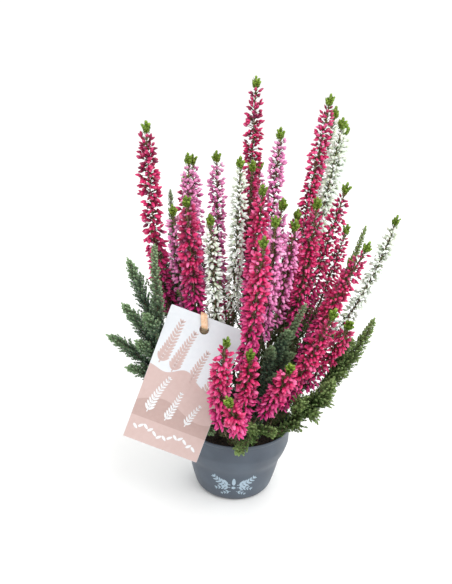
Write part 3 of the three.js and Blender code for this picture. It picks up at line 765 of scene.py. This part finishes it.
def addTwiglets(pile, feet, axes, longs, ages, rng, leaf, gap, slots):
    # short side shoots, each clothed in opposite pairs of leaves; slots are those of the bark and the leaf
    count = len(feet)
    axes = unit(axes)
    side = unit(np.cross(axes, np.array([0.3, 0.2, 1.0])))
    face = np.cross(axes, side)
    form, size, wide = leaf
    turns = bases(axes, face, 0.5, 0.5, longs)
    pour(pile, stickForm, turns, feet, rng.random(count) * 0.5, ages * 0, slots[0])
    for k in range(int(np.max(longs) / gap) + 1):
        at = (k + 0.5) * gap
        on = longs > at
        for flip in (1, -1):
            out = ((side if k % 2 else face) * flip)[on]
            share = at / longs[on]
            lean = unit(axes[on] + out * (0.8 - 0.4 * share)[:, None])
            long = size * (1 - 0.3 * share) * rng.uniform(0.85, 1.15, len(share))
            tone = np.clip(rng.normal(0.3 + 0.35 * share, 0.2), 0, 1)
            place = feet[on] + axes[on] * at + out * 0.15
            turns = bases(lean, out, long * wide, long * 0.4, long)
            pour(pile, form, turns, place, tone, ages[on] + 0.2 * share, slots[1])
    long = np.full(count, size)
    place = feet + axes * (longs - 0.3 * size)[:, None]
    turns = bases(axes, face, long * wide, long * 0.5, long)
    pour(pile, form, turns, place, rng.random(count), ages + 0.3, slots[1])


def addBranch(pile, foot, heading, up, long, rng, leaf, slots):
    # a leafy side branch that turns up to the light
    bends = ((0, 0), (0.35, 0), (0.6, 0.25), (0.68, 0.6))
    path = np.array([foot + heading * long * a + up * long * b for a, b in bends])
    points, faces = tube(bezier(path, np.linspace(0, 1, 6)), np.linspace(0.55, 0.3, 6), 4)
    pourMesh(pile, points, faces, slot=slots[0])
    s = np.arange(1.5, long, 1.4)
    at, along, first, second = acrossPath(path, s / long)
    form, size, wide = leaf
    for k in range(3):
        out = around(first, second, np.arange(len(s)) * 1.2 + k * 2.1)
        axis = unit(along + out * rng.uniform(0.5, 0.9, len(s))[:, None])
        each = size * rng.uniform(0.85, 1.2, len(s))
        tone = np.clip(rng.normal(0.4, 0.22, len(s)), 0, 1)
        turns = bases(axis, out, each * wide, each * 0.4, each)
        pour(pile, form, turns, at + out * 0.3, tone, s / long * 0.8, slots[1])


def addStem(pile, plant, rng):
    path, length = plant["path"], plant["length"]
    neck, inBud = plantRules["neckLength"], plant["inBud"]
    leafyEnd = length - neck - inBud
    t = np.linspace(0, 1 - 3 / length, 46)
    radii = np.interp(t, stemRules["shares"], stemRules["radii"])
    points, faces = tube(bezier(path, t), radii, 6)
    pourMesh(pile, points, faces, slot=0)
    # decussate scale leaves up to the buds, then again under the tuft
    for low, high in ((5, leafyEnd + 4), (length - neck - 1, length - 9)):
        n = max(2, int((high - low) / stemRules["leafStep"]))
        s = np.linspace(low, high, n)
        at, along, first, second = acrossPath(path, s / length)
        for flip in (1, -1):
            turn = np.where(np.arange(n) % 2, math.pi / 4, 3 * math.pi / 4) + (0 if flip > 0 else math.pi)
            out = around(first, second, turn)
            axis = unit(along + out * rng.uniform(0.35, 0.8, n)[:, None])
            size = stemRules["leafLong"] * rng.uniform(0.85, 1.2, n)
            tone = np.clip(rng.normal(0.35, 0.2, n), 0, 1)
            turns = bases(axis, out, size * 0.5, size * 0.4, size)
            pour(pile, leafForm, turns, at + out * 0.6, tone, s / length * 0.5, 1)
    # short leafy twigs along the lower stem
    s = np.arange(7, leafyEnd + 2, stemRules["twigStep"])
    if len(s):
        n = len(s)
        at, along, first, second = acrossPath(path, s / length)
        out = around(first, second, np.arange(n) * goldenAngle + rng.normal(0, 0.3, n))
        longs = rng.uniform(*stemRules["twigLong"], n) * np.clip(0.4 + s / 50, 0.4, 1)
        feet, axes = at + out * 0.6, along + out * 0.75
        addTwiglets(pile, feet, axes, longs, s / length * 0.6, rng, scaleLeafOn, 1.9, (0, 1))
    # side branches, longest on the tall stems
    for k, s in enumerate(np.arange(14, leafyEnd + 8, stemRules["branchStep"])):
        at, along, first, second = (each[0] for each in acrossPath(path, np.array([s / length])))
        turn = k * 2.4 + rng.random()
        out = first * math.cos(turn) + second * math.sin(turn)
        long = rng.uniform(*stemRules["branchLong"]) * min(1, length / 200) ** 2
        if plant["crown"] == "crimson_front":  # kept clear of the tag
            long *= stemRules["frontBranches"]
        addBranch(pile, at, unit(out + along * 0.6), along, long, rng, scaleLeafOn, (0, 1))
    # the tuft: a leader and a whorl of young side shoots
    top, up, first, second = (each[0] for each in acrossPath(path, np.array([1 - 10 / length])))
    lobes = stemRules["lobes"]
    turn = np.arange(lobes) * 2 * math.pi / lobes + rng.random() * 6
    lift = np.where(np.arange(lobes) % 2, 0.0, 2.2)
    out = around(first, second, turn)
    feet = np.concatenate([top + up * lift[:, None], (top + up * 1.5)[None]])
    axes = np.concatenate([up + out * rng.uniform(0.45, 0.7, lobes)[:, None], up[None]])
    longs = np.append(rng.uniform(*stemRules["lobeLong"], lobes), stemRules["leaderLong"])
    form, size, wide = tuftLeafOn
    leaf = (form, size * rng.uniform(0.95, 1.3), wide)
    addTwiglets(pile, feet, axes, longs, np.full(len(longs), 0.6), rng, leaf, 0.95, (0, 2))


def addCrownStub(pile, x, y):
    # the woody foot of a cutting, from 4 mm down in the peat to 5 mm above it
    profile = [(0, -4), (3.5, -3.8), (3.8, 1), (3.6, 3.5), (2.4, 4.8), (0, 5)]
    points, faces = lathed([(radius, peatTop + height) for radius, height in profile], 14, 5, 0.07)
    for p in points:
        p[:2] += Vector(noise.noise_vector(Vector(p) * 0.4 + Vector((x, y, 0)))).xy * 0.5
    pourMesh(pile, points + (x, y, 0), faces, slot=0)


for seed, (crown, (x, y)) in enumerate(crowns.items()):
    rng = np.random.default_rng(300 + seed)
    pile = newPile(heatherBark, scaleLeaf, tuftLeaf)
    addCrownStub(pile, x, y)
    for plant in plants:
        if plant["crown"] == crown:
            addStem(pile, plant, rng)
    pileToPiece(f"cutting_{crown}", pile, [f"stems_{crown}"])
print("stems and tufts grown")

# Leafy shoots

shootRules = {
    "twigletStep": 0.68, "angle": 0.75, "leafGap": 1.35,
    "tagMargin": 3, "tagGap": 4,  # mm beside the card and off its face
    "fullness": {"left": 1.15, "middle": 0.8, "right": 1.2, "right_low": 1.3},
}
shootLeafOn = (leafForm, 2.9, 0.8)


def clearOfTag(places, longs):
    # twiglets that stand beside the card are kept shorter than the way to it
    local = np.c_[places, np.ones(len(places))] @ np.array(tagPlace.inverted()).T
    margin = shootRules["tagMargin"]
    beside = np.abs(local[:, 0]) < tag["width"] / 2 + margin
    beside &= np.abs(local[:, 2]) < tag["height"] / 2 + margin
    return np.where(beside, np.clip(np.abs(local[:, 1]) - shootRules["tagGap"], 1, longs), longs)


def addSpray(pile, path, reach, fullness, rng):
    # a branch closely set with short twiglets all round
    length = pathLength(path)
    t = np.linspace(0, 1 - 2 / length, 30)
    points, faces = tube(bezier(path, t), np.interp(t, [0, 1], [1.2, 0.45]), 6)
    pourMesh(pile, points, faces, slot=0)
    s = np.arange(4, length - 3, shootRules["twigletStep"])
    n = len(s)
    at, along, first, second = acrossPath(path, s / length)
    out = around(first, second, np.arange(n) * goldenAngle + rng.normal(0, 0.25, n))
    share = s / length
    # full length in the middle, less toward the foot and the tip
    full = np.minimum(np.clip(0.3 + 2.6 * share, 0, 1), np.clip(0.14 + 2.5 * (1 - share), 0, 1))
    longs = (reach + 1) * 1.15 * fullness * full * rng.uniform(0.8, 1.1, n)
    longs = clearOfTag(at, longs)
    axes = along + out * shootRules["angle"]
    gap = shootRules["leafGap"]
    addTwiglets(pile, at + out * 0.4, axes, longs, share * 0.8, rng, shootLeafOn, gap, (0, 1))
    tip, up, _, _ = acrossPath(path, np.array([1 - 6 / length]))
    addTwiglets(pile, tip, up, np.array([6.0]), np.array([0.95]), rng, shootLeafOn, 0.9, (0, 1))


for seed, plant in enumerate(each for each in plants if each["kind"] == "shoot"):
    rng = np.random.default_rng(500 + seed)
    name = plant["name"]
    fullness = shootRules["fullness"].get(name, 1)
    pile = newPile(heatherBark, greyLeaf if "left" in name or name == "middle" else mossLeaf)
    addSpray(pile, plant["path"], plant["reach"], fullness, rng)
    for x, y, z, share in plant["twigs"]:
        path = stemPath(bezier(plant["path"], share), (x, y, z), 0.5)
        addSpray(pile, path, plant["reach"] * 0.95, fullness, rng)
    pileToPiece(f"spray_{name}", pile, [f"shoot_{name}"])
print("leafy shoots grown")

# Pot and peat

pot = {
    # radius, height and how much of each corner is rounded off
    "outside": [
        (0, 0, 0), (33.5, 0, 2.4), (37, 3.2, 3), (41.2, 18, 6), (44.4, 34, 3.5), (48.6, 42, 3.5),
        (51.6, 51.8, 2), (51.6, 66.8, 0.6), (52.5, 67.5, 0.5), (52.5, 69.6, 0.7), (51.6, 70, 0.3),
    ],
    "inside": [
        (51, 69.4, 0.5), (50.4, 60, 4), (50.2, 52, 3), (47.2, 42, 3), (43.1, 34, 3), (40, 18, 6),
        (36.2, 4, 2), (32.8, 1.6, 1.5), (0, 1.6, 0),
    ],
    "sides": 120, "drainRadius": 2.4, "drainRing": 22, "drainCount": 4, "drainSides": 24,
    "drillDepth": 8, "crease": 40,  # degrees, sharper corners stay crisp
}


def rounded(corners, steps=4):
    # a profile with its corners rounded, each by a short curve
    corners = np.array(corners, float)
    points, cut = corners[:, :2], corners[:, 2]
    made = []
    for k, spot in enumerate(points):
        if cut[k] == 0:
            made.append(tuple(spot))
            continue
        before = spot + unit(points[k - 1] - spot) * cut[k]
        after = spot + unit(points[k + 1] - spot) * cut[k]
        for t in np.linspace(0, 1, steps):
            made.append(tuple((1 - t) ** 2 * before + 2 * t * (1 - t) * spot + t * t * after))
    return made


potProfile = rounded(pot["outside"] + pot["inside"])


def addPot():
    # a turned shell with its drain holes cut through the floor
    points, faces = lathed(potProfile, pot["sides"])
    mesh = bpy.data.meshes.new("pot_shell")
    mesh.from_pydata([tuple(p * mm) for p in points], [], faces)
    shape = bmesh.new()
    shape.from_mesh(mesh)
    bmesh.ops.recalc_face_normals(shape, faces=shape.faces)
    shape.to_mesh(mesh)
    shape.free()
    piece = addObject("pot_shell", mesh)
    ring, drills = pot["drainRing"] * mm, []
    for k in range(pot["drainCount"]):
        angle = 2 * math.pi * (k + 0.5) / pot["drainCount"]
        bpy.ops.mesh.primitive_cylinder_add(
            vertices=pot["drainSides"], radius=pot["drainRadius"] * mm, depth=pot["drillDepth"] * mm,
            location=(ring * math.cos(angle), ring * math.sin(angle), 0),
        )
        drill = bpy.context.object
        cut = piece.modifiers.new("drain", "BOOLEAN")
        cut.operation, cut.solver, cut.object = "DIFFERENCE", "EXACT", drill
        drills.append(drill)
    evaluated = piece.evaluated_get(bpy.context.evaluated_depsgraph_get())
    piece.data = bpy.data.meshes.new_from_object(evaluated)
    piece.modifiers.clear()
    for drill in drills:
        bpy.data.objects.remove(drill)
    piece.data.shade_smooth()
    piece.data.set_sharp_from_angle(angle=math.radians(pot["crease"]))
    piece.data.materials.clear()
    piece.data.materials.append(slatePlastic)
    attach(piece, "root")
    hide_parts("pot")


peat = {
    "rings": 18, "sides": 60, "crumbs": 1000, "crumbSize": (0.7, 2.4), "edge": 49.6,
    # radius and height, a little inside the wall of the pot
    "side": [(0, 2), (30.8, 2), (35.2, 4.5), (39.2, 18), (42.4, 34), (46.4, 42), (49.4, 52)],
}


def peatHeight(x, y):
    # mounds about 8 mm wide with lumps of about 3 mm on them
    spot = Vector((x, y, 0))
    return peatTop + 1.0 * noise.noise(spot * 0.12) + 0.7 * noise.noise(spot * 0.35 + Vector((5, 3, 1)))


def addPeat():
    rng = np.random.default_rng(7)
    top = [(radius, peatTop) for radius in np.linspace(peat["edge"], 0, peat["rings"])]
    points, faces = lathed(peat["side"] + top, peat["sides"])
    for p in points:
        if p[2] == peatTop:
            p[2] = peatHeight(p[0], p[1])
    pile = newPile(dampPeat)
    pourMesh(pile, points, faces)
    crumb = withReach(lathed([(0, 0), (0.46, 0.3), (0.4, 0.75), (0, 1)], 5, 3, 0.15))
    n = peat["crumbs"]
    radius = (peat["edge"] - 0.8) * np.sqrt(rng.random(n))
    angle = rng.random(n) * 2 * math.pi
    size = rng.uniform(*peat["crumbSize"], n) * rng.uniform(0.6, 1, n)
    radius = np.minimum(radius, peat["edge"] - size / 2)
    place = np.stack([radius * np.cos(angle), radius * np.sin(angle), np.zeros(n)], 1)
    place[:, 2] = [peatHeight(x, y) for x, y in place[:, :2]]
    place[:, 2] -= size * 0.3
    axes = rng.normal(size=(n, 3)) + (0, 0, 1.2)
    turns = bases(axes, rng.normal(size=(n, 3)), size, size * 0.8, size * rng.uniform(0.6, 1.2, n))
    pour(pile, crumb, turns, place, rng.random(n), rng.random(n))
    pileToPiece("peat_fill", pile, ["peat"])


addPot()
addPeat()
print("pot and peat made")

# Print motifs: plain sprigs of leaves


def leafOutline(cx, cy, long, wide, angle, points=10):
    # a pointed oval in the plane of the print
    u = np.linspace(0, 2 * math.pi, points, endpoint=False)
    x = np.cos(u) * long / 2
    y = np.sin(u) * wide / 2 * (0.55 + 0.45 * np.cos(u * 0.5 - math.pi / 2))
    c, s = math.cos(angle), math.sin(angle)
    return np.stack([cx + x * c - y * s, cy + x * s + y * c], 1)


def stroke(points, wide):
    # a ribbon along points, in quads
    points = np.asarray(points, float)
    along = unit(np.gradient(points, axis=0))
    side = np.stack([-along[:, 1], along[:, 0]], 1) * np.reshape(wide, (-1, 1)) / 2
    left, right = points - side, points + side
    return [np.array([left[k], left[k + 1], right[k + 1], right[k]]) for k in range(len(points) - 1)]


def sprig(foot, tip, bend, leafLong, leafWide, step, stalk=0.5):
    # a curved stalk with pairs of pointed leaves that shrink to the tip
    foot, tip = np.array(foot, float), np.array(tip, float)
    along = tip - foot
    across = np.array([-along[1], along[0]]) * bend
    t = np.linspace(0, 1, 14)
    line = foot + along * t[:, None] + across * (t * (1 - t))[:, None]
    shapes = stroke(line, np.linspace(stalk, stalk * 0.4, 14))
    count = int(np.linalg.norm(along) / step)
    for k in range(count):
        share = (k + 0.6) / count
        spot = foot + along * share + across * share * (1 - share)
        heading = along + across * (1 - 2 * share)
        angle = math.atan2(heading[1], heading[0])
        size = 1 - 0.55 * share
        for flip in (1, -1):
            lean = angle + flip * 0.75
            far = leafLong * size * 0.55
            x, y = spot[0] + far * math.cos(lean), spot[1] + far * math.sin(lean)
            shapes.append(leafOutline(x, y, leafLong * size, leafWide * size, lean))
    shapes.append(leafOutline(*tip, leafLong * 0.5, leafWide * 0.5, math.atan2(along[1], along[0])))
    return shapes


def addShapes(pile, shapes, place, slot=0):
    for shape in shapes:
        points = np.array([place(x, y) for x, y in shape])
        pourMesh(pile, points, [tuple(range(len(points)))], slot=slot)


def potRadius(z):
    top = int(np.argmax([height for _, height in potProfile]))
    outside = np.array(potProfile[:top])
    return np.interp(z, outside[:, 1], outside[:, 0])


potPrint = {
    # foot, tip, bend, leaf length and width, step and stalk of the sprigs at the right, mirrored at the left
    "sprigs": [
        ((3, 22), (19.5, 30), -0.4, 7.4, 3.2, 3.3, 0.9),
        ((3, 18.5), (17, 15.5), 0.3, 5.6, 2.4, 2.9, 0.8),
        ((2.5, 13.5), (11, 9.5), 0.2, 4, 1.8, 2.6, 0.6),
    ],
    "middle": [(0, 26, 9, 4, 1.57), (0, 18.4, 4, 4, 0)],
    "lift": 0.05,  # mm off the wall
}


def addPotPrint():
    # three pairs of sprigs about two plain leaves, on the tapered part of the pot's front
    def place(x, z):
        radius = potRadius(z) + potPrint["lift"]
        angle = -math.pi / 2 + x / radius
        return radius * math.cos(angle), radius * math.sin(angle), z

    pile = newPile(paleInk)
    for side in (1, -1):
        for foot, tip, bend, *leaves in potPrint["sprigs"]:
            foot, tip = ((x * side, z) for x, z in (foot, tip))
            addShapes(pile, sprig(foot, tip, bend * side, *leaves), place)
    addShapes(pile, [leafOutline(*each) for each in potPrint["middle"]], place)
    pileToPiece("pot_print", pile, [])


# Tag and rubber loop


def addTag():
    # a card with rounded corners and a round hole, filled in its plane and then given its thickness
    w, h, r = tag["width"] / 2, tag["height"] / 2, tag["corner"]
    holeZ, holeRadius = h - tag["holeDrop"], tag["holeRadius"]
    edge = []
    for n, (sideX, sideZ) in enumerate(((1, 1), (-1, 1), (-1, -1), (1, -1))):
        for turn in (0, 30, 60, 90):
            a = math.radians(90 * n + turn)
            edge.append((sideX * (w - r) + r * math.cos(a), sideZ * (h - r) + r * math.sin(a)))
    angles = np.linspace(0, 2 * math.pi, 40)[:-1]
    hole = [(holeRadius * math.cos(a), holeZ + holeRadius * math.sin(a)) for a in angles]
    spots, count = edge + hole, len(edge) + len(hole)
    plane, faces = bmesh.new(), []
    verts = [plane.verts.new((x, 0, z)) for x, z in spots]
    for start, size, way in ((0, len(edge), -1), (len(edge), len(hole), 1)):
        for k in range(size):
            one, two = start + k, start + (k + 1) % size
            plane.edges.new((verts[one], verts[two]))
            faces.append((one, two, two + count, one + count)[::way])
    bmesh.ops.triangle_fill(plane, edges=plane.edges[:], use_beauty=True)
    plane.verts.index_update()
    plane.normal_update()
    for face in plane.faces:
        front = [v.index for v in face.verts][:: 1 if face.normal.y < 0 else -1]
        faces += [front, [k + count for k in reversed(front)]]
    plane.free()
    depths = (-tag["thick"] / 2, tag["thick"] / 2)
    mesh = bpy.data.meshes.new("tag_card")
    mesh.from_pydata([onTag(x, y, z) * mm for y in depths for x, z in spots], [], faces)
    mesh.materials.append(whiteCard)
    piece = addObject("tag_card", mesh)
    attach(piece, "root")
    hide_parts("tag")


tagPrint = {
    # foot, tip, bend and leaf length of each sprig
    "roseSprigs": [
        ((-27, 10), (-20, 50), -0.06, 8.2), ((-14, 6), (-6, 44), 0.08, 8.0), ((4, 0), (10, 32), 0.1, 7.2),
        ((19, -4), (25, 19), 0.1, 6.4),
    ],
    "whiteSprigs": [
        ((-22, -34), (-13, 0), 0.15, 6.4), ((-5, -36), (1, -9), -0.1, 5.8), ((13, -35), (20, -14), 0.12, 5.2),
    ],
    "leaves": 13, "leafStep": 4.5, "leafHeight": -49,  # the row under the sprigs
    "nearFoot": -40, "border": 0.15,
}


def addTagPrint():
    # a rose field with a rolling edge and sprigs on its skyline, a deeper field before it,
    # then white sprigs and a row of white leaves; each layer lies a little off the one below
    w, h = tag["width"] / 2 - tagPrint["border"], tag["height"] / 2 - tagPrint["border"]
    xs = np.linspace(-w, w, 45)
    # heights over the middle of the card, in mm
    hills = 4 - 6 * xs / w + 5 * np.sin(xs * 0.09 + 1.4) + 2 * np.sin(xs * 0.21 + 2)
    near = -24 + 5 * np.sin(xs * 0.09 + 2.6)

    def layer(depth):
        return lambda x, z: onTag(x, -tag["thick"] / 2 - depth, z)

    def band(low, high):
        rows = zip(xs, xs[1:], high, high[1:])
        return [[(a, low), (b, low), (b, highB), (a, highA)] for a, b, highA, highB in rows]

    pile = newPile(roseInk, roseDeep, whiteInk)
    addShapes(pile, band(-h, hills), layer(0.04), 0)
    addShapes(pile, band(tagPrint["nearFoot"], near), layer(0.07), 1)
    for foot, tip, bend, size in tagPrint["roseSprigs"]:
        addShapes(pile, sprig(foot, tip, bend, size, size * 0.42, 3.2, 1.2), layer(0.06), 0)
    for foot, tip, bend, size in tagPrint["whiteSprigs"]:
        addShapes(pile, sprig(foot, tip, bend, size, size * 0.4, 3, 0.9), layer(0.1), 2)
    for k in range(tagPrint["leaves"]):
        spot = (-27 + tagPrint["leafStep"] * k, tagPrint["leafHeight"] + 2.5 * math.sin(k * 0.9))
        addShapes(pile, [leafOutline(*spot, 5.6, 2.8, 0.7 if k % 2 else -0.7)], layer(0.1), 2)
    pileToPiece("tag_print", pile, [])


def closedCurve(points, count):
    # an even-handed closed spline through points, as in the solids
    total = len(points)
    made = []
    for n in range(count):
        p = total * n / count
        k, w = int(p), p - int(p)
        a, b, c, d = (points[(k + j) % total] for j in (-1, 0, 1, 2))
        d0, d1, d2 = (max(np.linalg.norm(q - r), 1e-6) ** 0.5 for q, r in ((b, a), (c, b), (d, c)))
        m1 = ((b - a) / d0 - (c - a) / (d0 + d1) + (c - b) / d1) * d1
        m2 = ((c - b) / d1 - (d - b) / (d1 + d2) + (d - c) / d2) * d1
        made.append(b + m1 * w + (3 * (c - b) - 2 * m1 - m2) * w**2 + (2 * (b - c) + m1 + m2) * w**3)
    return np.array(made)


loop = {
    "wide": 5.8, "thick": 0.9, "steps": 12,
    "share": 0.46,  # of the stem's path, where the loop goes round
    "lean": 0.42,  # sideways for each mm up the card
}


def addLoop():
    # out through the hole, over the card's top edge and round a stem behind it
    holder = next(plant for plant in plants if plant["name"] == "crimson_left_2")
    acrossTag = np.array(tagTurn.to_3x3() @ Vector((1, 0, 0)))
    upStem = np.array([0, 0, 1.0])
    edge = tag["height"] / 2
    holeTop = edge - tag["holeDrop"] + tag["holeRadius"]
    stem = bezier(holder["path"], loop["share"])
    away = plantRules["leafReach"] + 1
    tow = unit((onTag(0, 0, edge) - stem) * (1, 1, 0))
    side = np.array([-tow[1], tow[0], 0])

    def atStem(along, out):
        return stem + tow * along + side * out

    def leaning(y, z):
        return onTag(-loop["lean"] * (z - holeTop + 3), y, z)

    # places along the strap, and the direction in which it is wide
    route = [
        (leaning(0, holeTop - 2.9), acrossTag),
        (leaning(2.6, holeTop - 2.9), acrossTag),
        (atStem(9, 2.6), upStem + acrossTag),
        (atStem(3, away), upStem),
        (atStem(-1.5, away * 0.9), upStem),
        (atStem(-away, 0), upStem),
        (atStem(-1.5, -away * 0.9), upStem),
        (atStem(3, -away), upStem),
        (atStem(9, -2.6), upStem + acrossTag),
        (leaning(3.2, edge + 1.2), acrossTag),
        (leaning(0.2, edge + 2.2), acrossTag),
        (leaning(-2, edge + 0.6), acrossTag),
        (leaning(-2.2, (edge + holeTop) / 2), acrossTag),
        (leaning(-1.9, holeTop - 1.1), acrossTag),
    ]
    count = loop["steps"] * len(route)
    line = closedCurve([point for point, _ in route], count)
    along = unit(np.roll(line, -1, 0) - np.roll(line, 1, 0))
    section = []
    for k in range(12):  # a flat strap with rounded edges
        x, y = math.cos(2 * math.pi * k / 12), math.sin(2 * math.pi * k / 12)
        section.append((math.copysign(abs(x) ** 0.35, x), math.copysign(abs(y) ** 0.7, y)))
    points, faces = [], []
    for n in range(count):
        place = n / count * len(route)
        one, two = route[int(place)][1], route[(int(place) + 1) % len(route)][1]
        wide = one * (1 - place % 1) + two * (place % 1)
        wide = unit(wide - along[n] * (wide @ along[n]))
        thick = np.cross(along[n], wide)
        points += [line[n] + wide * a * loop["wide"] / 2 + thick * b * loop["thick"] / 2 for a, b in section]
    sides = len(section)
    for n in range(count):
        for k in range(sides):
            m, nextRing = (k + 1) % sides, (n + 1) % count
            faces.append((n * sides + k, n * sides + m, nextRing * sides + m, nextRing * sides + k))
    pile = newPile(peachRubber)
    pourMesh(pile, points, faces)
    pileToPiece("latex_loop", pile, ["rubber_loop"])


addPotPrint()
addTag()
addTagPrint()
addLoop()
print("tag, print and loop made")

# Floor and light

studio = {
    "floor": "#fdfdfc", "world": "#ffffff", "worldStrength": 1.08,
    # place and size in m, power in W
    "lamps": {"key": ((0.7, -0.9, 1.5), 0.9, 14), "back": ((0.5, 1.2, 1.3), 1.0, 6)},
    "lookAt": (0, 0, 0.2),
}


def addStudio():
    # a sheet of matt paper without gloss, which takes only a soft shadow
    bpy.ops.mesh.primitive_plane_add(size=80, location=(0, 0, -0.0002))
    floor = bpy.context.object
    floor.name = "floor"
    material = startMaterial("pale paper floor", {"Roughness": 0.9, "Base Color": srgb(studio["floor"])})[0]
    floor.data.materials.append(material)
    world = bpy.data.worlds.new("studio")
    bpy.context.scene.world = world
    world.use_nodes = True
    sky = world.node_tree.nodes["Background"]
    sky.inputs["Color"].default_value = srgb(studio["world"])
    sky.inputs["Strength"].default_value = studio["worldStrength"]
    for name, (place, size, power) in studio["lamps"].items():
        data = bpy.data.lights.new(name, "AREA")
        data.energy, data.size = power, size
        lamp = addObject(name, data)
        lamp.location = place
        lamp.rotation_euler = (Vector(studio["lookAt"]) - Vector(place)).to_track_quat("-Z", "Y").to_euler()


addStudio()
bpy.context.scene.view_settings.view_transform = "Standard"

bpy.context.view_layer.update()
